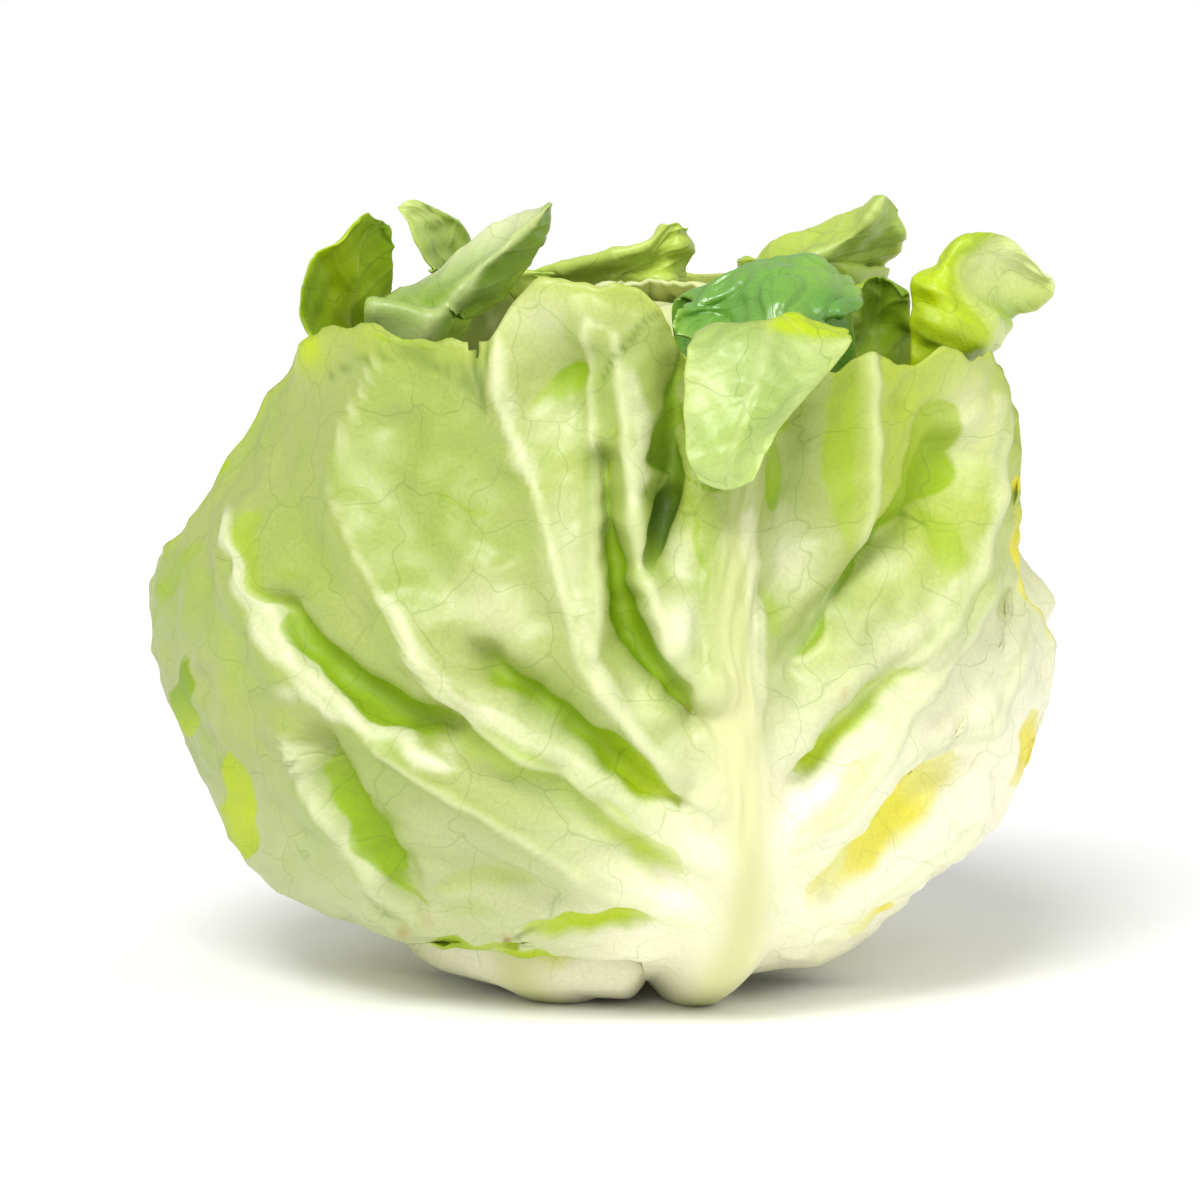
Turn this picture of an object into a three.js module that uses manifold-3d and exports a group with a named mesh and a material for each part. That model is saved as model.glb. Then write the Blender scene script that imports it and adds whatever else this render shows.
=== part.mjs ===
// A head of butterhead lettuce, standing on its cut stem.
// Millimetres, +Z up, -Y is the front, where one large wrapper leaf shows its thick white midrib.
// Places on the head are given by a turn, in degrees round the stem (0 in front, 90 on the right),
// a run, in mm along the outline from the middle of the underside up to the rim,
// and a depth, in mm out from that outline (negative is further inside the head).
import * as THREE from 'three';
import Module from 'manifold-3d';
import { mergeVertices } from 'three/addons/utils/BufferGeometryUtils.js';

// Driving dimensions.
const OUTLINE = [ // distance from the axis, height
  [0, 8], [12, 6.5], [26, 4], [38, 7], [51, 13.5], [63, 23], [71, 35], [76, 49],
  [77, 64], [75, 77], [71, 90], [67.5, 104], [65.5, 117], [64.5, 128], [64, 140],
];
const SHRINK_CENTRE = 50; // height that the inner layers of the underside shrink towards
const STEM = { x: 8, y: -4, radius: 10.2, topRadius: 7, height: 44, leadsTo: 70 };
const RIM_SHIFT = { x: 9, from: 70, to: 120 }; // the opening stands to the right of the belly
const VIEW_RISE = THREE.MathUtils.degToRad(9); // the front view looks down by this much
const FRONT_FOOT = 40; // the foot of the front midrib is this far in front of the axis
const LEAF_THICKNESS = 0.8;
const LEAF_START = 12; // distance from the stem's middle where a leaf starts
const FOLD_REACH = 18; // how far in a fold of the outside is still felt

// Fullness that the head has on one side only: turn, run, spread in degrees and in mm, swell in mm.
const SWELLS = [
  [-104, 104, 22, 20, 4], [-102, 138, 20, 22, 6], [-84, 70, 24, 15, 5], [-60, 62, 30, 14, 2],
  [102, 112, 24, 26, 8], [75, 62, 30, 14, -4], [168, 110, 34, 30, 3],
];

// The front leaf's folds as seen from the front: points across and up in mm, then half-width and height.
const RIDGES = [
  [[[-17.5, 119], [-16.7, 108], [-11.3, 95], [-9, 87], [-5.9, 73], [-3, 62], [1.3, 56], [7.2, 48], [12.6, 41], [17, 38]], 3.8, 2.8],
  [[[-38, 115], [-43, 103], [-45, 92], [-41, 81], [-36, 72], [-32, 64], [-29, 58], [-21, 51], [-14, 46], [-5, 42], [6, 33], [17, 27]], 4.5, 3],
  [[[-63, 88], [-62, 79], [-59, 71], [-54, 62], [-45, 55], [-37, 46], [-27, 40], [-18, 35], [-9, 29], [1, 22], [14, 18]], 4.5, 3.2],
  [[[-54, 50], [-53, 45], [-49, 37], [-43, 30], [-37, 22], [-32, 17]], 3.4, 2.8],
  [[[-1.5, 122], [-1, 98], [-1, 76], [-1, 64]], 3, 2],
  [[[3, 120], [4, 109], [5, 97], [7, 80], [9.5, 72], [13, 62], [18, 57]], 4, 4],
  [[[47.3, 116], [47.2, 90], [45, 80], [42, 73], [37, 66], [32, 60]], 3.4, 1.8],
  [[[71, 106], [68.5, 93], [65, 81], [59.5, 69], [52.7, 61], [45, 54], [37, 47]], 4, 3],
  [[[67, 77], [61, 64], [54, 55], [48.6, 45], [41, 35], [34, 31]], 3.8, 2.4],
  [[[74, 68], [68, 50], [56, 46], [50, 39], [44, 30], [40, 21]], 3.8, 2.2],
  [[[66, 32], [56, 24], [46, 17], [38, 11]], 4, 2],
];
const VALLEYS = [
  [[[-57, 71], [-52, 64], [-44, 58], [-37, 53.5], [-31, 51], [-26, 51]], 3.4, -6],
  [[[-49, 47], [-45, 39], [-41, 33], [-36, 26], [-32, 19]], 3, -4.6],
  [[[-20, 62], [-11, 55], [-3, 50], [6, 42], [14, 38]], 3.2, -5],
  [[[-7, 42], [2, 33], [12, 25]], 3.6, -3.4],
  [[[0.5, 97], [2.5, 80], [5, 67], [11, 60], [17, 53]], 3.2, -6.5],
  [[[14, 120], [14.4, 102], [12, 93], [10.5, 80]], 3.4, -5.5],
  [[[63.5, 99], [59, 89], [47, 79.5], [42.7, 73], [38, 67], [34, 61]], 3.4, -6],
  [[[51.7, 60], [43.7, 52.5], [39, 46], [36, 42]], 3, -5],
  [[[65, 46], [56, 42], [50, 35], [44, 28], [38, 22]], 3.4, -3.4],
  [[[-4, 113], [-2, 107]], 6, -3.4],
  [[[-36, 112], [-36, 96], [-33, 84]], 6, -2],
  [[[58, 108], [58, 100]], 6, -2.6],
  [[[32, 104], [34, 84], [30, 74]], 4.5, -3],
  [[[-24, 26], [-8, 22], [4, 17]], 4, -2.4],
];

// The front leaf, row by row from its base to its tip, each row along a side vein:
// run at the midrib, then turn and run at the left margin and at the right margin.
const FRONT_TURN = 17;
const FRONT_ROWS = [
  [12.5, -3, 12.5, 58, 12.5], [27, -1, 27, 64, 28], [36, 0, 43, 70, 42], [42, -4, 56, 74, 54],
  [46, -30, 54, 76, 61], [50, -58, 52, 76, 69], [53, -80, 62, 77, 76], [56, -93, 82, 75, 85],
  [59, -95, 102, 78, 94], [62, -92, 119, 82, 103], [66, -80, 135, 78, 115], [70, -78, 154, 73, 124],
  [74, -70, 168, 73, 133], [79, -50, 174, 79, 143], [85, -36, 172, 80, 152], [91, -26, 174, 74, 161],
  [97, -18, 184, 64, 167], [104, -11, 185, 52, 168], [114, -4, 184, 42, 169], [130, 1, 181, 34, 170],
  [148, 3.5, 174, 29, 169], [168, 7, 169, 23, 168],
];
// Any other wrapper leaf, as shares: of the midrib's run, of the half-width, of the margin's run.
const WRAPPER_ROWS = [
  [0, 0.5, 0], [0.1, 0.48, 0.1], [0.19, 0.56, 0.19], [0.27, 0.76, 0.27], [0.34, 0.94, 0.4],
  [0.42, 1, 0.56], [0.52, 0.99, 0.72], [0.63, 0.9, 0.87], [0.75, 0.68, 0.96], [0.87, 0.38, 1], [1, 0.1, 1],
];
// Name, turn of the midrib, half-width in degrees, depth, run at the rim, how low the blade spreads,
// height of the midrib's keel above its foot, part that shows its folds, mesh rows and columns.
// A sag is the share of its depth that a leaf has where it hangs free under the head.
const WRAPPERS = [
  { name: 'leaf_right', turn: 120, half: 78, depth: -4, rim: 157, low: 0.85, keel: 4.5, shown: [-42, 96], ruffles: [0, 2, 1.4], rows: 15, side: 9 },
  { name: 'leaf_left', turn: -122, half: 76, depth: -7.5, rim: 160, low: 0.85, keel: 4.5, shown: [-34, 44], ruffles: [0, 0, 1.4], rows: 15, side: 9 },
  { name: 'leaf_underneath', turn: -33, half: 56, depth: -5, rim: 88, low: 1, keel: 1, foot: -3.2, sag: -0.7, ruffles: [0.8, 0, 0], rows: 10, side: 6 },
  { name: 'leaf_back', turn: 180, half: 70, depth: -12, rim: 170, low: 0.95, keel: 1, foot: -4.4, ruffles: [0, 0, 1.6], rows: 10, side: 7 },
];

// The leaves of the opening. Each hugs the heart from the stem up, then its top follows rows of
// five points from the left margin to the right one, each across, up and away, as seen from the front.
const TIPS = [
  { name: 'tip_left', turn: -82, half: 27, depth: -17, join: 126, top: [
    [[-45, 111.4, -22], [-45.9, 111.8, -14], [-46.6, 111.8, -6], [-45.5, 112.5, 2], [-44.1, 112.9, 9]],
    [[-52.9, 121.1, -21], [-49.1, 119.7, -14], [-45, 119, -9], [-40.7, 120.1, -3], [-37.6, 121.5, 3]],
    [[-52.6, 129.8, -22], [-48.6, 128.7, -15], [-44.6, 128.2, -9], [-40.5, 128.3, -4], [-37.1, 129.1, 0]],
    [[-49.3, 135.5, -21], [-46.4, 135, -15], [-43.4, 134.8, -11], [-40, 134.8, -7], [-37.1, 134.8, -4]],
    [[-45, 139, -20], [-42.8, 139.1, -16], [-41.2, 139.3, -12], [-39.4, 139.1, -8], [-37.6, 137.7, -6]],
    [[-40.7, 140.6, -16], [-40, 140.8, -14], [-39.4, 140.9, -12], [-38.9, 140.8, -10], [-38.2, 140, -8]]] },
  { name: 'tip_back_left', turn: -138, half: 25, depth: -21, join: 126, top: [
    [[-30.2, 128.7, 22], [-28.8, 128.7, 27], [-27.5, 128.7, 29], [-25.6, 128.7, 31], [-23.4, 129.4, 33]],
    [[-30.4, 133, 20], [-29.2, 132.7, 25], [-27.9, 133, 28], [-25.6, 133.7, 30], [-22, 133.7, 33]],
    [[-33.1, 137.7, 19], [-30.6, 137.7, 23], [-27.7, 137.3, 26], [-25.9, 137.5, 29], [-22.7, 136.6, 33]],
    [[-35.1, 141.7, 20], [-32.4, 141.5, 22], [-29.2, 141.3, 25], [-26.1, 141.3, 28], [-24.5, 139.1, 31]],
    [[-36.2, 144.4, 21], [-34.6, 145.3, 22], [-32.6, 145.1, 23], [-29.5, 142.6, 25], [-26.6, 141.5, 27]]] },
  { name: 'tip_folded', turn: -106, half: 27, depth: -25, join: 118, top: [
    [[-42.1, 121.9, -15], [-36.9, 120.8, -17], [-31.5, 118.6, -18], [-28.8, 118.6, -12], [-26.1, 118.8, -4]],
    [[-38.9, 126.5, -8], [-32.8, 126, -12], [-27, 124.7, -16], [-24.1, 124, -9], [-21.2, 124.4, -1]],
    [[-31.1, 131, -3], [-26.1, 131, -9], [-21.6, 131.6, -14], [-17.6, 130.1, -7], [-13.7, 131.2, 1]],
    [[-23, 136.6, 0], [-19.4, 136.6, -6], [-16.4, 136.1, -11], [-13.1, 134.8, -5], [-10.4, 135.9, 3]],
    [[-15.8, 141.8, 3], [-13.3, 141.5, -2], [-11.7, 140.6, -6], [-10.6, 139.5, -2], [-10.3, 138.8, 3]],
    [[-10.1, 144, 3], [-9.4, 144.2, 0], [-8.6, 144, -3], [-8.3, 143.6, -1], [-8.1, 142.9, 2]]] },
  { name: 'tip_back', turn: 178, half: 25, depth: -17, join: 128, top: [
    [[-15.8, 128.3, 36], [-7.2, 127.6, 35], [1.8, 127.6, 33], [9.9, 127.1, 28], [13.1, 127.1, 35]],
    [[-12.1, 132.7, 34], [-4.5, 132.7, 30], [3.6, 132.3, 30], [11.5, 131.2, 27], [15.3, 131.4, 34]],
    [[-3.2, 135.5, 31], [1.8, 135.2, 25], [7.2, 133.9, 28], [13.3, 134.8, 26], [16.2, 135, 32]],
    [[5, 136.4, 28], [8.1, 137.2, 25], [11, 138.1, 26], [14.2, 138.2, 25], [16.4, 138.4, 30]],
    [[10.8, 139.9, 26], [12.2, 140.8, 25], [13.7, 141.3, 25], [14.8, 140.8, 25], [15.8, 139.7, 27]]] },
  { name: 'tip_back_right', turn: 134, half: 25, depth: -21, join: 126, top: [
    [[26.1, 130.9, 30], [31, 130.1, 22], [36, 129.8, 14], [45, 128.7, 17], [50.4, 128.7, 25]],
    [[28.1, 133.9, 28], [32.4, 133.6, 20], [37.1, 133.6, 11], [45, 133, 17], [51.5, 133, 23]],
    [[35.3, 139, 24], [38.7, 137.7, 17], [42.5, 136.6, 10], [48.2, 136.3, 16], [54, 136.6, 20]],
    [[43.2, 142.6, 20], [45.7, 141.3, 14], [47.9, 140.4, 9], [51.5, 140.2, 14], [55.1, 139.1, 17]],
    [[49.3, 145.3, 16], [50.2, 145.6, 13], [51.1, 145.8, 10], [52.6, 144.7, 12], [54, 142.7, 14]]] },
  { name: 'tip_right', turn: 84, half: 27, depth: -17, join: 126, top: [
    [[54.9, 111.8, -26], [61.2, 110.7, -24], [65.9, 112.1, -13], [67.3, 113.9, -4], [67, 115, 4]],
    [[55.3, 120.6, -25], [61.6, 120.2, -28], [69.8, 120.1, -20], [72.7, 120.8, -9], [70.6, 121.5, 0]],
    [[56.2, 129.1, -23], [60.1, 129.4, -26], [63.7, 128.5, -23], [72, 126.4, -8], [77, 125.5, -3]],
    [[59.8, 134.5, -21], [62.3, 134.8, -23], [64.3, 134.1, -21], [73.1, 133, -8], [81.2, 127.6, -8]],
    [[65.9, 137.7, -19], [68, 138.2, -18], [70.6, 138.2, -16], [75.2, 135.5, -11], [79.2, 130.9, -10]]] },
  { name: 'tip_right_inner', turn: 98, half: 22, depth: -25, join: 120, top: [
    [[42.5, 115.7, -4], [45.9, 115.4, 2], [49.5, 115.4, 5], [53.1, 115.4, 8], [56, 115.7, 12]],
    [[43.6, 122.9, -4], [46.4, 123.7, 1], [49.7, 123.3, 5], [53.1, 123.7, 5], [55.8, 122.9, 6]],
    [[45, 128.7, -4], [47.2, 129.6, 0], [50, 130, 3], [53.1, 129.1, 3], [55.6, 127.4, 3]],
    [[46.4, 130.3, -3], [47.9, 131, -1], [50, 131.4, 1], [52.6, 130, 2], [54.9, 128.3, 2]]] },
  { name: 'tip_shiny', turn: 48, half: 27, depth: -21, join: 122, top: [
    [[13, 120.4, -34], [20.7, 121.1, -34], [29.7, 122, -32], [37.8, 122, -27], [45, 121.1, -22]],
    [[15.8, 126.4, -37], [22, 130.3, -37], [29.9, 133.4, -35], [37.8, 133, -32], [44.6, 130.3, -27]],
    [[14.4, 124, -44], [22, 126.9, -41], [30.2, 130.3, -45], [38.7, 130, -42], [46.8, 127.3, -36]],
    [[13.1, 121.9, -49], [20.7, 122.6, -43], [29.7, 125.5, -52], [38.7, 125.8, -47], [46.3, 124.4, -40]],
    [[16.2, 119, -50], [22.5, 119.3, -50], [30.2, 120.4, -55], [38.2, 120.8, -50], [42.5, 123.7, -44]]] },
  { name: 'tip_flap', turn: 14, half: 25, depth: -17, join: 142, top: [
    [[16.6, 117.2, -57], [23.4, 117.5, -56], [30.2, 117.9, -54.5], [37.1, 117.9, -52], [42.3, 117.2, -48.4]],
    [[16.2, 118.8, -63], [22.5, 120.8, -63.5], [29.2, 121.9, -62], [36.9, 121.1, -60], [43.6, 119.3, -56]],
    [[15.3, 116.5, -69], [22, 117.5, -69.5], [28.8, 117.9, -69], [36.4, 115.9, -66], [43.6, 117.2, -61]],
    [[14.6, 108.9, -74], [20.2, 108.5, -75.5], [26.1, 108, -76.5], [31.5, 108.5, -74], [37.3, 109.6, -70]],
    [[14.9, 99.9, -77], [18.9, 99, -78.3], [22.9, 98.1, -79], [26.6, 98.8, -78], [30.2, 100.8, -76]],
    [[17.3, 93.8, -78.5], [19.8, 92.5, -79], [22.5, 92, -79.3], [24.8, 92.7, -79], [26.6, 93.6, -78.5]]] },
];

// The heart: a core with leaves wrapped over it. Turn, height of the tip's end past the top in degrees.
const HEART = { x: 8, y: 1, radius: 35, bottom: 46, top: 124, thickness: 1.2 };
const HEART_LEAVES = [[20, 158], [155, 166], [-90, 172], [75, 150], [-150, 155], [-25, 146]];

const COLOURS = {
  front: 0xc3d98c, right: 0xd9e290, left: 0xbcd67a, under: 0xd5e19a,
  back: 0xb6d268, tip: 0xa6cc3a, shiny: 0x6fa63a, heart: 0xdfe8a4, stem: 0xf1efcf,
};

const { degToRad, radToDeg, smoothstep, lerp, clamp } = THREE.MathUtils;

// A point on the smooth line through rows of numbers, at a share of its length in rows.
function along(rows, share) {
  const place = clamp(share, 0, 1) * (rows.length - 1);
  const i = Math.min(Math.floor(place), rows.length - 2);
  const t = place - i;
  const [b, c] = [rows[i], rows[i + 1]];
  const a = rows[i - 1] ?? b.map((value, k) => 2 * value - c[k]);
  const d = rows[i + 2] ?? c.map((value, k) => 2 * value - b[k]);
  return b.map((_, k) => 0.5 * (2 * b[k] + (c[k] - a[k]) * t
    + (2 * a[k] - 5 * b[k] + 4 * c[k] - d[k]) * t * t
    + (3 * b[k] - a[k] - 3 * c[k] + d[k]) * t * t * t));
}

// The outline as even steps of run, so that a run in mm finds its distance from the axis and height.
const OUTLINE_STEPS = 400;
const outlineTable = (() => {
  const table = [];
  let run = 0;
  let last = null;
  for (let k = 0; k <= OUTLINE_STEPS; k++) {
    const [radius, height] = along(OUTLINE, k / OUTLINE_STEPS);
    if (last) run += Math.hypot(radius - last[0], height - last[1]);
    last = [radius, height];
    table.push([run, radius, height]);
  }
  return table;
})();

function outlineAt(run) {
  let low = 0;
  let high = outlineTable.length - 1;
  while (high - low > 1) {
    const middle = (low + high) >> 1;
    if (outlineTable[middle][0] > run) high = middle;
    else low = middle;
  }
  const [a, b] = [outlineTable[low], outlineTable[high]];
  const t = (run - a[0]) / (b[0] - a[0]);
  return [lerp(a[1], b[1], t), lerp(a[2], b[2], t)];
}

// The way that depth goes at a place on the outline: level above the centre, towards it below.
function outwards(radius, height) {
  if (height >= SHRINK_CENTRE) return [1, 0];
  const length = Math.hypot(radius, height - SHRINK_CENTRE);
  return [radius / length, (height - SHRINK_CENTRE) / length];
}

// The stem stands in front and to the right of the belly, so the head leans back over it.
function lean(height) {
  const low = 1 - smoothstep(height, 0, STEM.leadsTo);
  return [STEM.x * low + RIM_SHIFT.x * smoothstep(height, RIM_SHIFT.from, RIM_SHIFT.to), STEM.y * low];
}

function distanceToLine(points, x, y) {
  let least = Infinity;
  for (let k = 1; k < points.length; k++) {
    const [[ax, ay], [bx, by]] = [points[k - 1], points[k]];
    const [dx, dy] = [bx - ax, by - ay];
    const t = clamp(((x - ax) * dx + (y - ay) * dy) / (dx * dx + dy * dy), 0, 1);
    least = Math.min(least, Math.hypot(x - ax - t * dx, y - ay - t * dy));
  }
  return least;
}

// A ridge fades quickly with depth, and a valley widens, so that each layer stays clear of the next.
function fold([points, width, height], x, y, depth) {
  const wide = height < 0 ? width - 0.9 * depth : width;
  const fade = height < 0 ? FOLD_REACH : 5;
  return height * Math.exp(depth / fade - (distanceToLine(points, x, y) / wide) ** 2);
}

// The side veins of an exposed wrapper leaf and the hollows between them, as lines of turn and run.
const VEIN_SHARES = [3, 5, 7, 9, 11, 13].map((row) => row / 15);
function foldsOf(leaf) {
  const lines = [];
  for (const side of [-1, 1]) {
    VEIN_SHARES.forEach((share, k) => {
      const line = (u, reach) => [0.06, 0.25, 0.45, 0.65, reach].map((v) => rowPlace(leaf, u, side * v));
      lines.push([line(share, 0.9), 4.5, 2.2 + 0.8 * Math.sin(2.1 * k + side)]);
      lines.push([line(share + 1 / 15, 0.8), 4.5, -2.6 - Math.sin(1.7 * k + 2 * side)]);
    });
  }
  return lines;
}

function wrapDegrees(angle) {
  return ((angle + 540) % 360) - 180;
}

const sideFolds = [];
function relief(turn, run, depth) {
  const [radius, height] = outlineAt(run);
  const inDegrees = radToDeg(turn);
  let out = 0;
  for (const [atTurn, atRun, spread, length, swell] of SWELLS) {
    const across = wrapDegrees(inDegrees - atTurn) / spread;
    const up = (run - atRun) / length;
    out += swell * Math.exp(depth / FOLD_REACH - across * across - up * up);
  }
  const facing = smoothstep(Math.cos(turn), 0.12, 0.45);
  if (facing > 0) {
    const [leanX, leanY] = lean(height);
    const across = leanX + radius * Math.sin(turn);
    const away = leanY - radius * Math.cos(turn);
    const up = height * Math.cos(VIEW_RISE) + (away + FRONT_FOOT) * Math.sin(VIEW_RISE);
    for (const line of [...RIDGES, ...VALLEYS]) out += facing * fold(line, across, up, depth);
  }
  for (const { leaf, lines } of sideFolds) {
    if (depth > leaf.depth + 1) continue; // a leaf further out keeps its own form
    const from = wrapDegrees(inDegrees - leaf.turn);
    const [first, last] = leaf.shown;
    const share = smoothstep(from, first, first + 18) * smoothstep(-from, -last, 18 - last)
      * smoothstep(leaf.half - Math.abs(from), 3, 14) * smoothstep(run, 30, 60);
    if (share === 0) continue;
    const mmPerDegree = degToRad(radius);
    for (const [points, width, high] of lines) {
      const flat = points.map(([atTurn, atRun]) => [(atTurn - leaf.turn) * mmPerDegree, atRun]);
      out += share * fold([flat, width, high], from * mmPerDegree, run, Math.min(0, depth - leaf.depth));
    }
  }
  return out;
}

// A place on the head, from a turn in radians, a run and a depth.
function place(turn, run, depth) {
  const [radius, height] = outlineAt(run);
  const [outRadius, outHeight] = outwards(radius, height);
  const out = depth + relief(turn, run, Math.min(depth, 0));
  const [r, z] = [radius + outRadius * out, height + outHeight * out];
  const [leanX, leanY] = lean(z);
  return new THREE.Vector3(leanX + r * Math.sin(turn), leanY - r * Math.cos(turn), z);
}

// The run where a layer at this depth comes off the stem.
function startRun(depth) {
  let run = LEAF_START;
  for (; run < 60; run += 0.5) {
    const [radius, height] = outlineAt(run);
    if (radius + outwards(radius, height)[0] * depth >= LEAF_START) return run;
  }
  return run;
}

// Where a wrapper leaf's row u meets the share v of its way from the midrib (0) to a margin (-1 or 1).
function rowPlace(leaf, u, v) {
  const [midRun, leftTurn, leftRun, rightTurn, rightRun] = along(leaf.outline, u);
  const [edgeTurn, edgeRun] = v < 0 ? [leftTurn, leftRun] : [rightTurn, rightRun];
  const reach = Math.abs(v);
  const turn = leaf.turn + (edgeTurn - leaf.turn) * (1 - (1 - reach) ** 1.5);
  const bend = lerp(leaf.bend ?? 1, 1.4, smoothstep(midRun, 60, 85));
  return [turn, midRun + (edgeRun - midRun) * reach ** bend];
}

const BASE_DEPTH = 0.5; // share of its depth that a wrapper leaf has at the stem
function outlineOf({ turn, half, rim, low, depth }) {
  const start = startRun(depth * BASE_DEPTH);
  return WRAPPER_ROWS.map(([mid, wide, up], k) => {
    const lowered = up * lerp(low, 1, smoothstep(k, 3, 7));
    const edge = start + (rim - start) * lowered;
    return [start + (rim - start) * mid, turn - half * wide, edge, turn + half * wide, edge];
  });
}

// Height and half-width of the midrib's keel, in mm, at a run.
const KEEL = [
  [4.8, 7], [5.2, 7.5], [5, 8.5], [4.4, 10], [3.6, 9.5], [2.8, 8.5], [2, 7], [1.3, 5.5], [0.7, 4], [0.3, 3],
];
const KEEL_RUN = 175;
const BASE_KEEL_END = [28, 42]; // runs between the foot of a leaf and its keel

function keelAt(leaf, run, away) {
  const [high, wide] = along(KEEL, run / KEEL_RUN);
  const past = smoothstep(run, ...BASE_KEEL_END);
  const foot = leaf.foot > 0 ? leaf.foot * smoothstep(run, 12, 22) : leaf.foot;
  const top = lerp(high + foot, Math.min(high, leaf.keel), past);
  const t = Math.min(1, Math.abs(away) / wide);
  return top * (1 - t ** 2.6) ** 1.6;
}

// A closed sheet between two faces, both split into triangles alike.
function closedSheet(rows, columns, faces) {
  const points = [];
  for (const face of [0, 1])
    for (let i = 0; i <= rows; i++)
      for (let j = 0; j <= columns; j++) points.push(faces(i / rows, (2 * j) / columns - 1)[face]);
  const count = (rows + 1) * (columns + 1);
  const at = (i, j) => i * (columns + 1) + j;
  const index = [];
  for (let i = 0; i < rows; i++)
    for (let j = 0; j < columns; j++) {
      const [a, b, c, d] = [at(i, j), at(i, j + 1), at(i + 1, j + 1), at(i + 1, j)];
      index.push(a, b, c, a, c, d);
      index.push(count + a, count + c, count + b, count + a, count + d, count + c);
    }
  const border = [];
  for (let j = 0; j < columns; j++) border.push(at(0, j));
  for (let i = 0; i < rows; i++) border.push(at(i, columns));
  for (let j = columns; j > 0; j--) border.push(at(rows, j));
  for (let i = rows; i > 0; i--) border.push(at(i, 0));
  border.forEach((a, k) => {
    const b = border[(k + 1) % border.length];
    index.push(a, count + a, count + b, a, count + b, b);
  });
  const geometry = new THREE.BufferGeometry();
  geometry.setAttribute('position', new THREE.Float32BufferAttribute(points.flatMap((p) => p.toArray()), 3));
  geometry.setIndex(index);
  return facingOut(geometry);
}

function facingOut(geometry) {
  const p = geometry.getAttribute('position');
  const [a, b, c] = [new THREE.Vector3(), new THREE.Vector3(), new THREE.Vector3()];
  let volume = 0;
  for (let k = 0; k < geometry.index.count; k += 3) {
    a.fromBufferAttribute(p, geometry.index.getX(k));
    b.fromBufferAttribute(p, geometry.index.getX(k + 1));
    c.fromBufferAttribute(p, geometry.index.getX(k + 2));
    volume += a.dot(b.cross(c));
  }
  if (volume < 0) geometry.setIndex([...geometry.index.array].reverse());
  geometry.computeVertexNormals();
  return geometry;
}

// The way out of a surface, from two small steps on it.
const STEP = 0.01;
function normalOf(surface, u, v) {
  const [u0, u1] = [Math.max(0, u - STEP), Math.min(1, u + STEP)];
  const [v0, v1] = [Math.max(-1, v - STEP), Math.min(1, v + STEP)];
  const alongU = surface(u1, v).sub(surface(u0, v));
  const alongV = surface(u, v1).sub(surface(u, v0));
  return alongV.cross(alongU).normalize();
}

// A wrapper leaf: rows along its side veins, a keeled midrib, and a margin that waves outwards.
function wrapperLeaf(leaf) {
  const depthAt = (turn, run) => {
    const share = lerp(BASE_DEPTH, 1, smoothstep(run, 20, 46));
    if (leaf.sag === undefined) return leaf.depth * share;
    const hanging = smoothstep(run, 16, 30) * (1 - smoothstep(run, 38, 52)) * smoothstep(-turn, 3, 14);
    return leaf.depth * lerp(share, leaf.sag, hanging);
  };
  const wave = (u, v) => {
    const ripple = 0.5 + 0.5 * Math.sin(leaf.waves * u + 3 * v + leaf.turn);
    const side = v < 0 ? leaf.ruffles[0] : leaf.ruffles[1];
    const margin = Math.max(side * Math.abs(v) ** 5, leaf.ruffles[2] * smoothstep(u, 0.86, 1));
    return margin * ripple * smoothstep(u, 0.2, 0.45);
  };
  const surface = (u, v) => {
    const [turn, run] = rowPlace(leaf, u, v);
    return place(degToRad(turn), run, depthAt(turn, run) + wave(u, v));
  };
  return closedSheet(leaf.rows, 2 * leaf.side, (u, even) => {
    const v = Math.sign(even) * Math.abs(even) ** 1.3; // columns crowd towards the midrib
    const [turn, run] = rowPlace(leaf, u, v);
    const middle = surface(u, v);
    const out = normalOf(surface, u, v);
    const away = degToRad(turn - leaf.turn) * outlineAt(run)[0];
    const keel = keelAt(leaf, run, away);
    const outer = middle.clone().addScaledVector(out, LEAF_THICKNESS / 2 + keel);
    outer.z = Math.max(outer.z, 0); // the keels rest on the surface, and are flat there
    return [outer, middle.addScaledVector(out, -LEAF_THICKNESS / 2 - 0.08 * keel)];
  });
}

// A point as seen from the front, across, up and away, as a place in the head's frame.
function fromFront([across, up, away]) {
  const height = (up - (away + FRONT_FOOT) * Math.sin(VIEW_RISE)) / Math.cos(VIEW_RISE);
  return new THREE.Vector3(across, away, height);
}

const HUG_ROWS = 7;
const TIP_WAVE = 1.3;
// A leaf of the opening: it hugs its layer up to its join, then follows its own rows of points.
function tipLeaf(leaf) {
  const start = startRun(leaf.depth);
  const rowAt = (k, v) => {
    if (k < HUG_ROWS) {
      const run = lerp(start, leaf.join, k / (HUG_ROWS - 1));
      const wide = leaf.half * lerp(0.45, 1, smoothstep(k, 0, 3));
      const side = 1 - 0.5 * smoothstep(k, HUG_ROWS - 3, HUG_ROWS + 1);
      return place(degToRad(leaf.turn + wide * side * v), run, leaf.depth).toArray();
    }
    return along(leaf.top[k - HUG_ROWS].map((point) => fromFront(point).toArray()), (v + 1) / 2);
  };
  const surface = (u, v) => {
    const rows = Array.from({ length: HUG_ROWS + leaf.top.length }, (_, k) => rowAt(k, v));
    return new THREE.Vector3(...along(rows, u));
  };
  const meshRows = 2 * leaf.top.length + 4;
  return closedSheet(meshRows, 8, (even, v) => {
    const u = even ** 0.75; // rows crowd towards the tip, which shows
    const out = normalOf(surface, u, v);
    const free = smoothstep(u, 0.62, 0.85);
    const wave = TIP_WAVE * free * v * v * Math.sin(26 * u + 2.4 * v + leaf.turn);
    const middle = surface(u, v).addScaledVector(out, wave);
    const half = 0.35 + 0.5 * (1 - u) * (1 - v * v);
    return [middle.clone().addScaledVector(out, half), middle.addScaledVector(out, -half)];
  });
}

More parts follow.
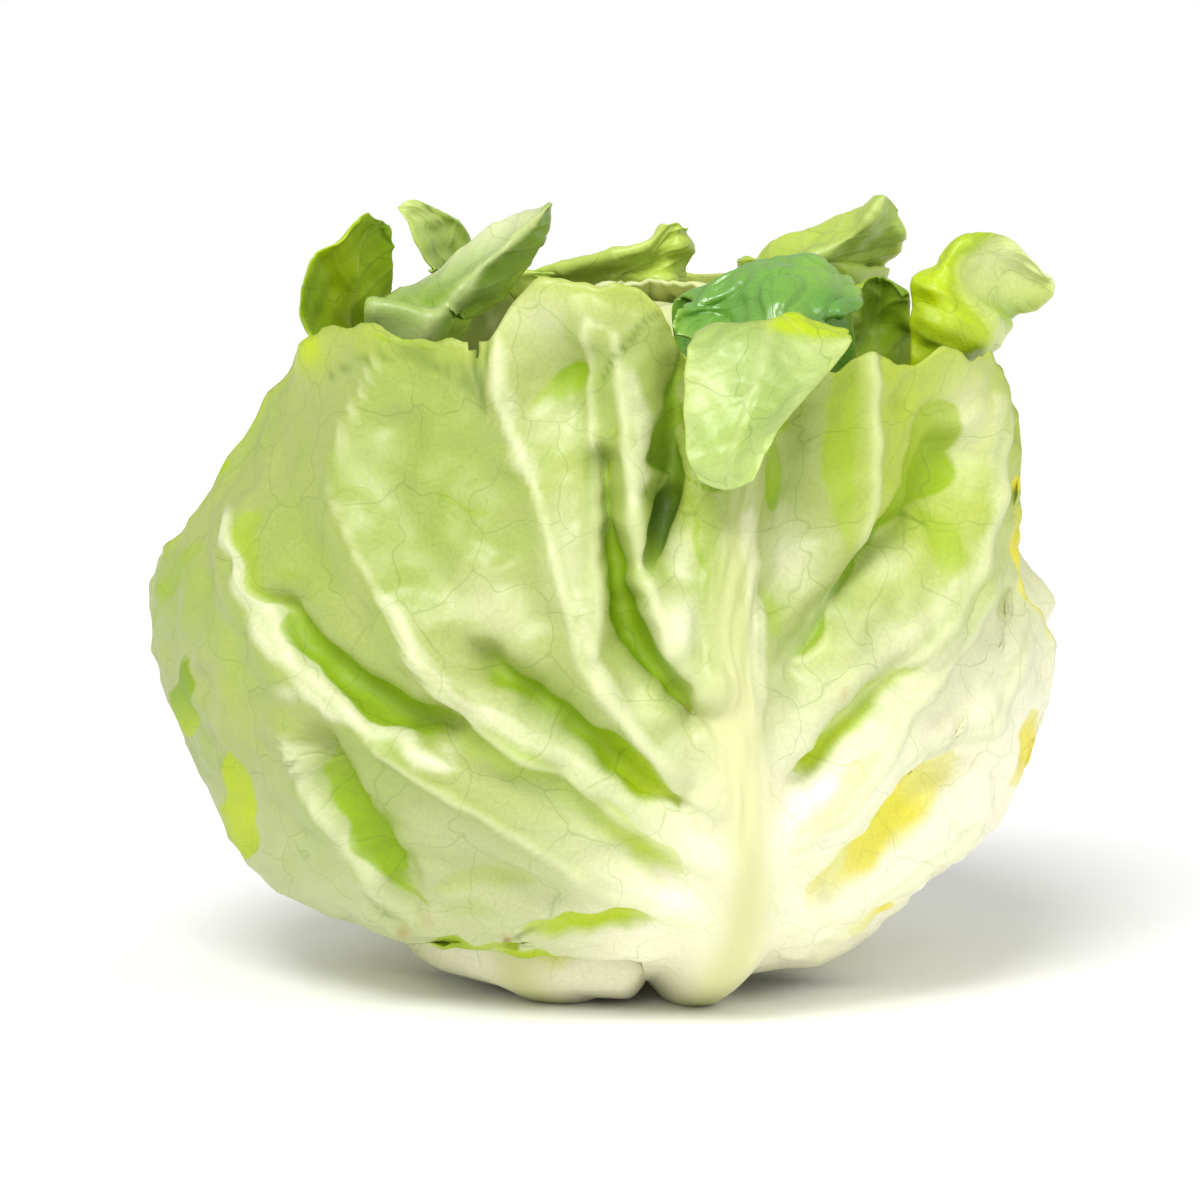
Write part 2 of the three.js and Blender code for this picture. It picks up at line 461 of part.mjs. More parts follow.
// The heart's core and the leaves wrapped over it, joined in one solid.
function heartGeometry(wasm) {
  const centre = (HEART.top + HEART.bottom) / 2;
  const tall = (HEART.top - HEART.bottom) / 2;
  const at = (turn, rise, out) => {
    const r = (HEART.radius + out) * Math.sin(rise);
    const z = centre - (tall + out) * Math.cos(rise);
    return new THREE.Vector3(HEART.x + r * Math.sin(turn), HEART.y - r * Math.cos(turn), z);
  };
  const core = new THREE.SphereGeometry(1, 16, 10);
  core.rotateX(Math.PI / 2);
  core.scale(HEART.radius - 2.5, HEART.radius - 2.5, tall - 2.5);
  core.translate(HEART.x, HEART.y, centre);
  let solid = solidOf(wasm, core);
  HEART_LEAVES.forEach(([turn, end], k) => {
    const layer = -0.6 * k - 0.4;
    const surface = (u, v) => {
      const rise = degToRad(lerp(40, end, u));
      const half = 52 * (1 - 0.25 * u) / Math.max(0.45, Math.sin(rise));
      const lift = layer + 2.4 * smoothstep(u, 0.75, 1) + 0.8 * v * v * Math.sin(6 * u + k);
      return at(degToRad(turn + half * v), rise - 0.25 * v * v * u, lift);
    };
    const sheet = closedSheet(7, 5, (u, v) => {
      const middle = surface(u, v);
      const out = normalOf(surface, u, v);
      const inner = 3.4 * (1 - u) + HEART.thickness;
      return [middle.clone().addScaledVector(out, HEART.thickness / 2), middle.addScaledVector(out, -inner)];
    });
    solid = solid.add(solidOf(wasm, sheet));
  });
  const largest = solid.decompose().sort((a, b) => b.volume() - a.volume())[0];
  return geometryOf(largest);
}

function solidOf(wasm, geometry) {
  const bare = geometry.clone();
  bare.deleteAttribute('normal');
  bare.deleteAttribute('uv');
  const merged = mergeVertices(bare, 1e-3);
  return new wasm.Manifold(new wasm.Mesh({
    numProp: 3,
    vertProperties: merged.attributes.position.array,
    triVerts: new Uint32Array(merged.index.array),
  }));
}

function geometryOf(solid) {
  const { vertProperties, triVerts } = solid.getMesh();
  const geometry = new THREE.BufferGeometry();
  geometry.setAttribute('position', new THREE.BufferAttribute(new Float32Array(vertProperties), 3));
  geometry.setIndex(new THREE.BufferAttribute(triVerts, 1));
  geometry.computeVertexNormals();
  return geometry;
}

// The stem that every leaf grows from, cut flat underneath.
function stemGeometry() {
  const geometry = new THREE.LatheGeometry([
    new THREE.Vector2(0, 0), new THREE.Vector2(STEM.radius - 1, 0), new THREE.Vector2(STEM.radius, 1),
    new THREE.Vector2(STEM.radius, 20), new THREE.Vector2(STEM.topRadius, STEM.height),
    new THREE.Vector2(0, STEM.height),
  ], 24);
  geometry.rotateX(Math.PI / 2);
  const p = geometry.getAttribute('position');
  for (let k = 0; k < p.count; k++) {
    const [leanX, leanY] = lean(p.getZ(k));
    p.setXY(k, p.getX(k) + leanX, p.getY(k) + leanY);
  }
  return geometry;
}

function piece(name, geometry, colour, roughness = 0.55) {
  const material = new THREE.MeshStandardMaterial({ color: colour, roughness, metalness: 0 });
  const mesh = new THREE.Mesh(geometry, material);
  mesh.name = name;
  return mesh;
}

const wasm = await Module();
wasm.setup();

const front = {
  turn: FRONT_TURN, depth: 0, keel: 9, rows: 40, side: 17, waves: 40, ruffles: [1.4, 1.4, 1], foot: 0, bend: 0.7,
  outline: FRONT_ROWS,
};
const wrappers = WRAPPERS.map((leaf) => ({
  waves: 34, foot: 0.5 - BASE_DEPTH * leaf.depth, ...leaf, outline: outlineOf(leaf),
}));
for (const leaf of wrappers) if (leaf.shown) sideFolds.push({ leaf, lines: foldsOf(leaf) });

const head = new THREE.Group();
head.add(piece('stem', stemGeometry(), COLOURS.stem, 0.6));
head.add(piece('leaf_front', wrapperLeaf(front), COLOURS.front, 0.5));
const wrapperColours = [COLOURS.right, COLOURS.left, COLOURS.under, COLOURS.back];
wrappers.forEach((leaf, k) => head.add(piece(leaf.name, wrapperLeaf(leaf), wrapperColours[k])));
for (const leaf of TIPS) head.add(piece(leaf.name, tipLeaf(leaf), leaf.name === 'tip_shiny' ? COLOURS.shiny : COLOURS.tip, 0.45));
head.add(piece('heart', heartGeometry(wasm), COLOURS.heart));

// The origin goes under the middle of the whole head.
const box = new THREE.Box3().setFromObject(head);
head.position.set(-(box.min.x + box.max.x) / 2, -(box.min.y + box.max.y) / 2, -box.min.z);

export default head;
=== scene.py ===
# A head of butterhead lettuce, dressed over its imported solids: fine leaves with veins and puckers.
# Shapes are worked out in millimetres in the head's own frame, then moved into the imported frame.
import math
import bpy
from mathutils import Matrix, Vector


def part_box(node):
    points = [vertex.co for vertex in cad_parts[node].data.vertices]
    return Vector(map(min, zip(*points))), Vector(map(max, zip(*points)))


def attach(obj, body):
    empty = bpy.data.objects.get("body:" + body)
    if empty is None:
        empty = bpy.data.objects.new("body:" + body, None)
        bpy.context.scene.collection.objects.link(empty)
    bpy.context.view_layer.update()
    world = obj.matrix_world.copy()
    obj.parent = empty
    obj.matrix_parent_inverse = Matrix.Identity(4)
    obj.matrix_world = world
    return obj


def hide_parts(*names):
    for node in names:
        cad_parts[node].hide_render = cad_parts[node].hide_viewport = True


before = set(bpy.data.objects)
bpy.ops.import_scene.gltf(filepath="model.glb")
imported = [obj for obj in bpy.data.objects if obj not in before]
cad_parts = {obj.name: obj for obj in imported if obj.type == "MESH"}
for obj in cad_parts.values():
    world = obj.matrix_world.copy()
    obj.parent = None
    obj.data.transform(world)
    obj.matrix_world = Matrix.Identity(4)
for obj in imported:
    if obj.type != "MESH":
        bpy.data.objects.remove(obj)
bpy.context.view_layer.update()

from types import SimpleNamespace

import bpy
import numpy as np
from mathutils import Vector

MM = 0.001

# The head's outline and layers, as in the solids: distance from the axis and height.
OUTLINE = [
    (0, 8), (12, 6.5), (26, 4), (38, 7), (51, 13.5), (63, 23), (71, 35), (76, 49), (77, 64), (75, 77),
    (71, 90), (67.5, 104), (65.5, 117), (64.5, 128), (64, 140),
]
OUTLINE_STEPS = 401
SHRINK_CENTRE = 50
STEM = dict(x=8, y=-4, radius=10.2, leads_to=70)
RIM_SHIFT = dict(x=9, low=70, high=120)
# Leaves start this far from the axis, at a run found in steps up to a last one, at half their depth.
LEAF_START = 12
LAST_START = 60
START_STEP = 0.5
BASE_DEPTH = 0.5

# The view from the front: its rise, how far in front the head's foot is in mm, and its steps, which
# are the photo's: their size in mm, the middle and the foot. The front's folds come in between the
# two cosines of the turn in FACING.
VIEW_RISE = math.radians(9)
FRONT_FOOT = 40
VIEW_STEP = 0.18
VIEW_MIDDLE = 600
VIEW_FOOT = 1005
FACING = (0.12, 0.45)

# How folds fade with depth in mm, and how much wider a valley gets.
FOLD_REACH = 18
RIDGE_REACH = 5
VALLEY_WIDENS = 0.9

# Fullness on one side: turn, run, spread in degrees and in mm, swell in mm.
SWELLS = [
    (-104, 104, 22, 20, 4), (-102, 138, 20, 22, 6), (-84, 70, 24, 15, 5), (-60, 62, 30, 14, 2),
    (102, 112, 24, 26, 8), (75, 62, 30, 14, -4), (168, 110, 34, 30, 3),
]

# Folds of the front leaf, seen from the front: points across and up, half-width, height, in mm.
RIDGES = [
    ([(-17.5, 119), (-16.7, 108), (-11.3, 95), (-9, 87), (-5.9, 73), (-3, 62), (1.3, 56), (7.2, 48),
      (12.6, 41), (17, 38)], 3.8, 2.8),
    ([(-38, 115), (-43, 103), (-45, 92), (-41, 81), (-36, 72), (-32, 64), (-29, 58), (-21, 51), (-14, 46),
      (-5, 42), (6, 33), (17, 27)], 4.5, 3),
    ([(-63, 88), (-62, 79), (-59, 71), (-54, 62), (-45, 55), (-37, 46), (-27, 40), (-18, 35), (-9, 29),
      (1, 22), (14, 18)], 4.5, 3.2),
    ([(-54, 50), (-53, 45), (-49, 37), (-43, 30), (-37, 22), (-32, 17)], 3.4, 2.8),
    ([(-1.5, 122), (-1, 98), (-1, 76), (-1, 64)], 3, 2),
    ([(3, 120), (4, 109), (5, 97), (7, 80), (9.5, 72), (13, 62), (18, 57)], 4, 4),
    ([(47.3, 116), (47.2, 90), (45, 80), (42, 73), (37, 66), (32, 60)], 3.4, 1.8),
    ([(71, 106), (68.5, 93), (65, 81), (59.5, 69), (52.7, 61), (45, 54), (37, 47)], 4, 3),
    ([(67, 77), (61, 64), (54, 55), (48.6, 45), (41, 35), (34, 31)], 3.8, 2.4),
    ([(74, 68), (68, 50), (56, 46), (50, 39), (44, 30), (40, 21)], 3.8, 2.2),
    ([(66, 32), (56, 24), (46, 17), (38, 11)], 4, 2),
]
VALLEYS = [
    ([(-57, 71), (-52, 64), (-44, 58), (-37, 53.5), (-31, 51), (-26, 51)], 3.4, -6),
    ([(-49, 47), (-45, 39), (-41, 33), (-36, 26), (-32, 19)], 3, -4.6),
    ([(-20, 62), (-11, 55), (-3, 50), (6, 42), (14, 38)], 3.2, -5),
    ([(-7, 42), (2, 33), (12, 25)], 3.6, -3.4),
    ([(0.5, 97), (2.5, 80), (5, 67), (11, 60), (17, 53)], 3.2, -6.5),
    ([(14, 120), (14.4, 102), (12, 93), (10.5, 80)], 3.4, -5.5),
    ([(63.5, 99), (59, 89), (47, 79.5), (42.7, 73), (38, 67), (34, 61)], 3.4, -6),
    ([(51.7, 60), (43.7, 52.5), (39, 46), (36, 42)], 3, -5),
    ([(65, 46), (56, 42), (50, 35), (44, 28), (38, 22)], 3.4, -3.4),
    ([(-4, 113), (-2, 107)], 6, -3.4),
    ([(-36, 112), (-36, 96), (-33, 84)], 6, -2),
    ([(58, 108), (58, 100)], 6, -2.6),
    ([(32, 104), (34, 84), (30, 74)], 4.5, -3),
    ([(-24, 26), (-8, 22), (4, 17)], 4, -2.4),
]

# What only the front leaf shows, in steps of the front view: soft patches of colour, each with its
# middle, reach and angle and its strength. Crease patches are painted shade and pale ones painted light;
# lime is the leaf's colour, partly painted glow of light through it; rust and bruise are its own spots.
FRONT_PATCHES = {
    "crease": [
        ((450, 520, 40, 12, 10), 0.15), ((560, 640, 40, 14, 25), 0.15), ((300, 577, 12, 8, 0), 0.4),
        ((540, 345, 30, 14, 10), 0.2), ((575, 335, 14, 16, 0), 0.3), ((300, 690, 22, 30, 0), 0.15),
        ((430, 580, 40, 60, 20), 0.12), ((390, 470, 100, 110, 0), 0.14), ((700, 590, 12, 60, 0), 0.1),
        ((330, 530, 24, 60, 0), 0.12),
    ],
    "lime": [
        ((314, 346, 30, 28, 40), 0.95), ((915, 460, 50, 80, 0), 0.5), ((905, 790, 60, 18, -40), 0.3),
        ((820, 650, 16, 26, 30), 0.35), ((835, 660, 14, 26, 0), 0.3), ((560, 470, 30, 50, 0), 0.15),
        ((930, 440, 60, 50, 0), 0.4), ((880, 400, 40, 60, 0), 0.3), ((690, 520, 22, 40, 0), 0.25),
        ((240, 690, 20, 60, 0), 0.15), ((650, 690, 16, 30, 30), 0.3),
    ],
    "pale": [
        ((960, 430, 26, 55, 5), 0.5), ((540, 325, 40, 30, 0), 0.3), ((1000, 640, 24, 60, 0), 0.4),
        ((672, 625, 24, 30, 0), 0.7), ((680, 560, 14, 30, 0), 0.45), ((890, 565, 30, 18, -40), 0.4),
        ((560, 430, 30, 24, 0), 0.3), ((790, 560, 26, 34, 0), 0.5), ((300, 690, 10, 8, 0), 0.5),
        ((500, 610, 50, 26, 30), 0.3), ((570, 560, 22, 80, -6), 0.3), ((560, 745, 90, 20, 32), 0.35),
        ((470, 840, 90, 40, 20), 0.25), ((640, 700, 30, 30, 0), 0.35), ((290, 850, 60, 50, 30), 0.2),
        ((880, 640, 50, 24, -38), 0.35), ((520, 320, 60, 24, 0), 0.25), ((740, 930, 50, 50, 0), 0.5),
    ],
    "rust": [
        ((415, 917, 5, 4, 20), 0.7), ((434, 910, 4, 4, 0), 0.4), ((509, 930, 3, 4, 0), 0.9),
        ((689, 709, 5, 3, 10), 0.5), ((815, 833, 4, 3, 0), 0.3), ((833, 690, 3, 9, 30), 0.3),
    ],
    "bruise": [
        ((472, 385, 7, 22, -28), 0.5), ((425, 354, 30, 5, 10), 0.5), ((450, 347, 14, 5, 10), 0.5),
    ],
}

# Pools: the hollows of the folds, painted with shade and colour, with the softness of their left and right
# banks as one goes along them, how deep they sink in mm, and points along them: across and down in
# the view, half-width, tone (-1 dark painted shadow, 0 deep green painted shade, 1 lime, 2 yellow) and
# strength.
FRONT_POOLS = [
    (9, 2.5, 1.6, [(282, 600, 6, 0.3, 0.5), (294, 624, 14, 0, 0.9), (312, 645, 13, 0, 1),
     (332, 660, 13, 0, 1), (352, 680, 15, 0, 1), (375, 695, 17, 0, 1), (400, 708, 18, 0.05, 0.95),
     (425, 717, 16, 0.1, 0.85), (443, 723, 11, 0.15, 0.7), (452, 729, 3, 0.2, 0.4)]),
    (2.5, 22, 0.8, [(446, 716, 10, 0.2, 0.3), (480, 735, 14, 0.3, 0.4), (510, 752, 14, 0.35, 0.45),
     (545, 767, 12, 0.4, 0.4), (580, 790, 12, 0.4, 0.4), (610, 815, 14, 0.7, 0.6),
     (640, 838, 16, 0.9, 0.85), (665, 853, 12, 0.9, 0.75), (680, 862, 6, 0.9, 0.4)]),
    (2.5, 12, 1.8, [(482, 656, 3, 0.2, 0.5), (500, 676, 11, 0.1, 0.85), (520, 687, 10, 0.05, 1),
     (540, 696, 7, 0.05, 1), (560, 709, 8, 0.05, 1), (580, 722, 10, 0.05, 1), (600, 737, 14, 0.15, 1),
     (620, 755, 17, 0.35, 1), (640, 772, 17, 0.6, 1), (660, 785, 13, 0.9, 1), (678, 797, 6, 1, 0.9)]),
    (2.5, 3, 2.0, [(598, 452, 1, 0, 0.8), (604, 468, 2, 0, 0.9), (605, 490, 1.8, 0, 0.9),
     (608, 510, 2.5, 0, 1), (612, 535, 5, -0.1, 1), (614, 560, 9, -0.1, 1), (616, 590, 12, 0, 1),
     (622, 618, 15, 0, 1), (634, 637, 14, -0.1, 1), (650, 655, 12, -0.1, 1), (666, 672, 12, 0, 1),
     (680, 690, 12, 0.1, 1), (690, 704, 8, 0.4, 0.9), (692, 712, 4, 1, 0.8)]),
    (2.5, 6, 2.2, [(682, 352, 3, 0.1, 0.5), (677, 385, 6, 0.1, 0.75), (671, 410, 10, 0, 0.8),
     (664, 440, 16, -0.2, 0.95), (664, 462, 18, -0.5, 1), (678, 480, 9, -0.6, 1), (675, 497, 8, -0.7, 1),
     (664, 517, 12, -0.9, 1), (657, 537, 14, -0.8, 1), (652, 556, 11, -0.5, 1), (648, 572, 5, 0, 0.7)]),
    (2.5, 2.5, 0.3, [(688, 480, 1.5, 0, 0.8), (700, 487, 2.5, -0.1, 0.9), (715, 492, 4, -0.1, 0.9),
     (724, 496, 3, 0, 0.8)]),
    (4, 4, 1.0, [(768, 450, 4, 0.1, 0.6), (772, 475, 11, 0.15, 0.9), (774, 495, 10, 0.1, 0.95),
     (773, 511, 5, 0, 0.9)]),
    (4, 4, 0.4, [(782, 428, 8, 0.2, 0.8), (770, 434, 9, 0.7, 0.8), (760, 450, 6, 0.9, 0.6)]),
    (10, 10, 0.6, [(833, 350, 8, 0.4, 0.5), (835, 400, 14, 0.4, 0.7), (832, 440, 16, 0.35, 0.85),
     (832, 480, 14, 0.35, 0.8), (838, 520, 8, 0.3, 0.6), (842, 550, 4, 0.3, 0.4)]),
    (3.5, 9, 2.0, [(938, 420, 18, 0.5, 0.7), (937, 445, 26, 0.4, 0.9), (932, 472, 30, 0.35, 1),
     (912, 498, 20, 0.2, 1), (885, 525, 14, 0.05, 1), (868, 548, 12, 0, 1), (852, 570, 9, -0.1, 1),
     (840, 588, 7, -0.3, 1), (828, 610, 7, -0.1, 1), (816, 632, 8, 0, 0.95), (803, 650, 8, 0.1, 0.8),
     (792, 661, 4, 0.2, 0.5)]),
    (2.5, 2.5, 0.5, [(908, 521, 1, 0, 0.5), (918, 521, 2, -0.3, 0.9), (926, 527, 2, -0.3, 0.9),
     (929, 536, 1.5, 0, 0.7)]),
    (8, 8, 0.8, [(938, 520, 8, 0.4, 0.5), (936, 542, 11, 0.4, 0.75), (937, 560, 9, 0.4, 0.65),
     (936, 576, 4, 0.4, 0.3)]),
    (12, 2.5, 1.8, [(902, 664, 1.5, 0.7, 0.4), (888, 672, 5, 0.7, 0.8), (872, 687, 8, 0.65, 0.85),
     (856, 703, 9, 0.65, 0.9), (842, 718, 11, 0.7, 1), (828, 733, 13, 0.7, 1), (815, 748, 14, 0.75, 1),
     (804, 762, 10, 0.85, 1), (800, 770, 4, 0.9, 0.6)]),
    (12, 12, 0.6, [(860, 750, 6, 1, 0.25), (845, 775, 10, 1.2, 0.4), (825, 800, 9, 1.2, 0.4),
     (805, 815, 8, 1.2, 0.35), (788, 826, 6, 1.2, 0.2)]),
    (18, 5, 0.0, [(945, 762, 14, 1.8, 0.5), (922, 778, 18, 1.8, 0.7), (900, 803, 19, 1.9, 0.95),
     (880, 826, 19, 1.8, 0.95), (860, 846, 17, 1.8, 0.9), (842, 864, 13, 1.8, 0.8), (824, 880, 9, 1.9, 0.7),
     (808, 892, 5, 1.9, 0.4)]),
    (4, 3, 0.2, [(842, 920, 5, 1.7, 0.5), (862, 909, 6, 2, 0.8), (880, 903, 6, 2, 1),
     (893, 904, 3, 2, 0.5)]),
    (2.5, 2.5, 0.0, [(1004, 482, 4, 2, 0.8), (1004, 488, 4, 2, 0.8)]),
    (10, 2.5, 0.0, [(1001, 510, 3, 1.8, 0.5), (1002, 545, 7, 1.9, 0.8), (1005, 568, 8, 2, 1),
     (1012, 590, 7, 2, 0.7), (1022, 612, 8, 1.8, 0.6), (1024, 634, 6, 1.8, 0.3)]),
    (4, 3, 0.0, [(1018, 712, 4, 1.8, 0.6), (1013, 730, 8, 2, 0.9), (1013, 755, 8, 2, 0.9),
     (1008, 780, 6, 1.9, 0.5)]),
    (3, 14, 1.2, [(535, 405, 4, 0.2, 0.3), (555, 398, 10, 0.2, 0.6), (570, 385, 14, 0.05, 0.9),
     (580, 379, 12, 0, 1), (588, 377, 8, 0, 1)]),
    (2.5, 2.5, 0.3, [(591, 300, 0.8, 0.2, 0.4), (591, 340, 1, 0.2, 0.6), (592, 380, 1.2, 0, 0.8),
     (592, 420, 1, 0.2, 0.6), (597, 446, 1, 0.1, 0.8)]),
    (2.5, 2.5, 0.0, [(616, 410, 1, 0.5, 0.5), (611, 430, 1.2, 0.5, 0.6), (608, 460, 1.2, 0.5, 0.6),
     (609, 485, 1, 0.4, 0.4)]),
    (3, 3, 0.4, [(438, 496, 1.5, 0.1, 0.5), (447, 502, 3.5, 0, 0.6), (460, 506, 2.5, 0.1, 0.5),
     (480, 515, 3, 0.1, 0.5), (505, 523, 2, 0.1, 0.4), (540, 528, 1, 0.1, 0.3)]),
    (3, 3, 0.5, [(688, 500, 1, 0.2, 0.5), (693, 530, 2, 0.1, 0.6), (698, 555, 3, 0.1, 0.6),
     (706, 578, 2, 0.1, 0.4)]),
    (8, 8, 0.3, [(768, 602, 7, 0.3, 0.35), (770, 628, 8, 0.3, 0.35)]),
    (8, 3, 0.6, [(266, 515, 6, 0.4, 0.6), (266, 545, 7, 0.35, 0.7), (270, 575, 7, 0.35, 0.6),
     (276, 598, 6, 0.3, 0.6)]),
    (2.5, 2.5, 1.6, [(197, 652, 1, -0.2, 1), (196, 672, 5, -0.2, 1), (194, 690, 9, -0.1, 1),
     (194, 706, 11.5, 0.2, 1), (195, 720, 12, 0.5, 1), (196, 731, 7, 0.8, 1)]),
    (2.5, 2.5, 1.6, [(236, 750, 3, 0.9, 1), (240, 765, 12, 0.9, 1), (247, 785, 14, 0.9, 1),
     (256, 808, 13, 1, 1), (264, 830, 12, 1, 1), (271, 843, 6, 0.8, 1)]),
    (12, 2.5, 1.6, [(332, 738, 6, 0.3, 0.5), (337, 760, 13, 0.2, 0.8), (346, 783, 12, 0.1, 0.95),
     (355, 803, 9, 0.1, 1), (366, 821, 10, 0.05, 1), (381, 841, 12, 0.05, 1), (391, 857, 10, 0.1, 1),
     (398, 872, 4, 0.1, 1), (410, 887, 1.8, 0.3, 0.9), (425, 901, 1, 0.5, 0.8)]),
    (2.5, 9, 0.6, [(432, 938, 1, 0.9, 0.6), (448, 934, 5, 0.7, 0.9), (463, 932, 8, 0.4, 1),
     (480, 937, 5, 0.7, 0.9), (500, 940, 3, 0.9, 0.7), (515, 941, 7, 0.7, 1), (535, 946, 8, 0.8, 1),
     (555, 951, 6, 0.9, 0.9), (580, 956, 3, 1, 0.6)]),
    (2.5, 10, 1.2, [(528, 921, 4, 0.9, 0.6), (550, 920, 8, 0.8, 0.9), (575, 917, 9, 0.8, 1),
     (600, 915, 9, 0.85, 1), (625, 910, 10, 0.9, 1), (645, 905, 6, 0.9, 0.7), (655, 903, 2, 1, 0.3)]),
    (2.5, 2.5, 0.2, [(312, 902, 3, 0.9, 0.9), (328, 908, 5, 0.9, 0.9), (342, 911, 2, 0.9, 0.8)]),
    (12, 12, 0.4, [(440, 882, 6, 0.4, 0.25), (480, 872, 8, 0.4, 0.3), (505, 875, 8, 0.5, 0.4),
     (532, 878, 5, 0.5, 0.2)]),
    (12, 12, 0.3, [(450, 900, 5, 0.4, 0.2), (475, 898, 8, 0.4, 0.3), (495, 905, 5, 0.4, 0.2)]),
    (3, 3, 0.3, [(215, 545, 3, 0.2, 0.4), (195, 565, 5, 0.2, 0.45), (178, 595, 6, 0.2, 0.45),
     (165, 622, 6, 0.25, 0.5), (158, 633, 4, 0.3, 0.5)]),
    (2.5, 2.5, 0.0, [(380, 337, 2, 0.4, 0.6), (405, 345, 4, 0.25, 0.9), (430, 350, 4, 0.2, 0.9),
     (456, 350, 3, 0.2, 0.8)]),
    (2.5, 2.5, 0.2, [(290, 362, 2, 0.4, 0.8), (276, 388, 5, 0.25, 0.9), (262, 412, 7, 0.2, 0.95),
     (245, 442, 8, 0.2, 0.95), (232, 472, 7, 0.25, 0.9), (224, 502, 3, 0.3, 0.8)]),
]

# Painted highlights on ridges that catch the light: points with half-widths, and strength.
FRONT_GLEAMS = [
    ([(248, 520, 5), (254, 560, 6), (264, 598, 6), (276, 628, 7), (290, 650, 8), (312, 668, 9),
      (330, 690, 10), (348, 706, 10), (372, 717, 6), (392, 728, 5), (420, 745, 5), (450, 765, 5)], 0.75),
    ([(400, 600, 4), (412, 622, 5), (425, 645, 5), (440, 672, 5), (458, 692, 6), (478, 707, 7),
      (510, 720, 8), (550, 742, 8), (590, 770, 9), (630, 798, 10), (670, 818, 11)], 0.6),
    ([(583, 620, 4), (592, 655, 5), (605, 685, 6), (625, 712, 7), (640, 732, 6), (658, 757, 6),
      (678, 776, 8)], 0.6),
    ([(308, 745, 5), (320, 778, 5), (340, 810, 5), (360, 838, 5), (378, 862, 5), (392, 885, 5),
      (405, 900, 4)], 0.6),
    ([(985, 400, 6), (980, 480, 6), (972, 530, 6), (950, 572, 6), (920, 612, 7), (890, 642, 8),
      (855, 675, 8), (825, 705, 8)], 0.6),
    ([(742, 520, 6), (746, 580, 8), (750, 640, 9), (748, 720, 9)], 0.6),
    ([(628, 380, 6), (634, 410, 8), (640, 440, 7), (634, 500, 6)], 0.5),
    ([(505, 345, 6), (510, 400, 6), (525, 450, 7), (540, 480, 6)], 0.5),
    ([(700, 820, 10), (720, 860, 16), (715, 920, 18)], 0.5),
]

# The notch in the rim, and cracks: points, half-width and strength.
FRONT_CUT = [(470, 352), (460, 347), (450, 322), (482, 318), (487, 340), (484, 362)]
FRONT_CRACKS = [
    ([(340, 380), (368, 366), (400, 360), (440, 372), (480, 400)], 1.0, 0.6),
    ([(655, 321), (645, 327), (637, 334), (634, 344), (626, 352), (618, 358), (611, 368),
      (607, 382)], 1.0, 0.7),
    ([(394, 359), (430, 362), (462, 376), (488, 408)], 1.2, 0.5),
    ([(480, 352), (484, 380), (490, 412)], 1.6, 0.8),
    ([(498, 340), (493, 380), (490, 412)], 0.9, 0.7),
    ([(508, 934), (520, 928), (533, 922)], 0.6, 0.7),
    ([(380, 880), (398, 900), (408, 905)], 0.6, 0.5),
]

# How strongly these show, and over how many steps their banks rise.
POOL_LIMIT = 4.0
POOL_RIPPLE = 2.2
POOL_FACING = (0, 0.12)
SUNK_SHARE = 0.6
SUNK_BANK = (-5, 8)
GLEAM_BANK = (-6, 3)
GLEAM_SHARE = 0.7
GLEAM_RISE = 0.35
# The share of painted shade in the valleys and beside the veins of the front leaf.
CREASE_SHADE_SHARE = 0.22
CRACK_DEPTH = 0.3
CRACK_WIDTH = 0.7

# The front leaf: run at the midrib, then turn and run at the left and at the right margin.
FRONT_ROWS = [
    (12.5, -3, 12.5, 58, 12.5), (27, -1, 27, 64, 28), (36, 0, 43, 70, 42), (42, -4, 56, 74, 54),
    (46, -30, 54, 76, 61), (50, -58, 52, 76, 69), (53, -80, 62, 77, 76), (56, -93, 82, 75, 85),
    (59, -95, 102, 78, 94), (62, -92, 119, 82, 103), (66, -80, 135, 78, 115), (70, -78, 154, 73, 124),
    (74, -70, 168, 73, 133), (79, -50, 174, 79, 143), (85, -36, 172, 80, 152), (91, -26, 174, 74, 161),
    (97, -18, 184, 64, 167), (104, -11, 185, 52, 168), (114, -4, 184, 42, 169), (130, 1, 181, 34, 170),
    (148, 3.5, 174, 29, 169), (168, 7, 169, 23, 168),
]
FRONT_LEAF = dict(
    name="leaf_front", turn=17, depth=0, keel=9, waves=40, ruffles=(1.4, 1.4, 1), foot=0, bend=0.7,
    outline=FRONT_ROWS, slot="wrapper_leaf", size=(231, 187), crowd=1.15)
# Ripples of its margin: height, size and seed.
EDGE_RIPPLES = [(0.9, 14, 31), (0.3, 5, 32)]

# The other outer leaves. Rows: share of the midrib, of the half-width and of the margin's rise.
WRAPPER_ROWS = [
    (0, 0.5, 0), (0.1, 0.48, 0.1), (0.19, 0.56, 0.19), (0.27, 0.76, 0.27), (0.34, 0.94, 0.4),
    (0.42, 1, 0.56), (0.52, 0.99, 0.72), (0.63, 0.9, 0.87), (0.75, 0.68, 0.96), (0.87, 0.38, 1),
    (1, 0.1, 1),
]
WRAPPERS = [
    dict(name="leaf_right", turn=120, half=78, depth=-4, rim=157, low=0.85, keel=4.5, shown=(-42, 96),
         ruffles=(0, 2, 1.4), slot="pale_leaf", size=(150, 121)),
    dict(name="leaf_left", turn=-122, half=76, depth=-7.5, rim=160, low=0.85, keel=4.5, shown=(-34, 44),
         ruffles=(0, 0, 1.4), slot="wrapper_leaf", size=(150, 121)),
    dict(name="leaf_underneath", turn=-31, half=62, depth=-5, rim=88, low=1, keel=1, foot=-3.2, sag=-0.7,
         ruffles=(0.8, 0, 0), slot="pale_leaf", size=(80, 81)),
    dict(name="leaf_back", turn=180, half=70, depth=-12, rim=170, low=0.95, keel=1, foot=-4.4,
         ruffles=(0, 0, 1.6), slot="wrapper_leaf", size=(120, 91)),
]
LOWERED_ROWS = (3, 7)
TURN_POWER = 1.5
TOP_BEND = 1.4
BEND_CHANGES = (60, 85)
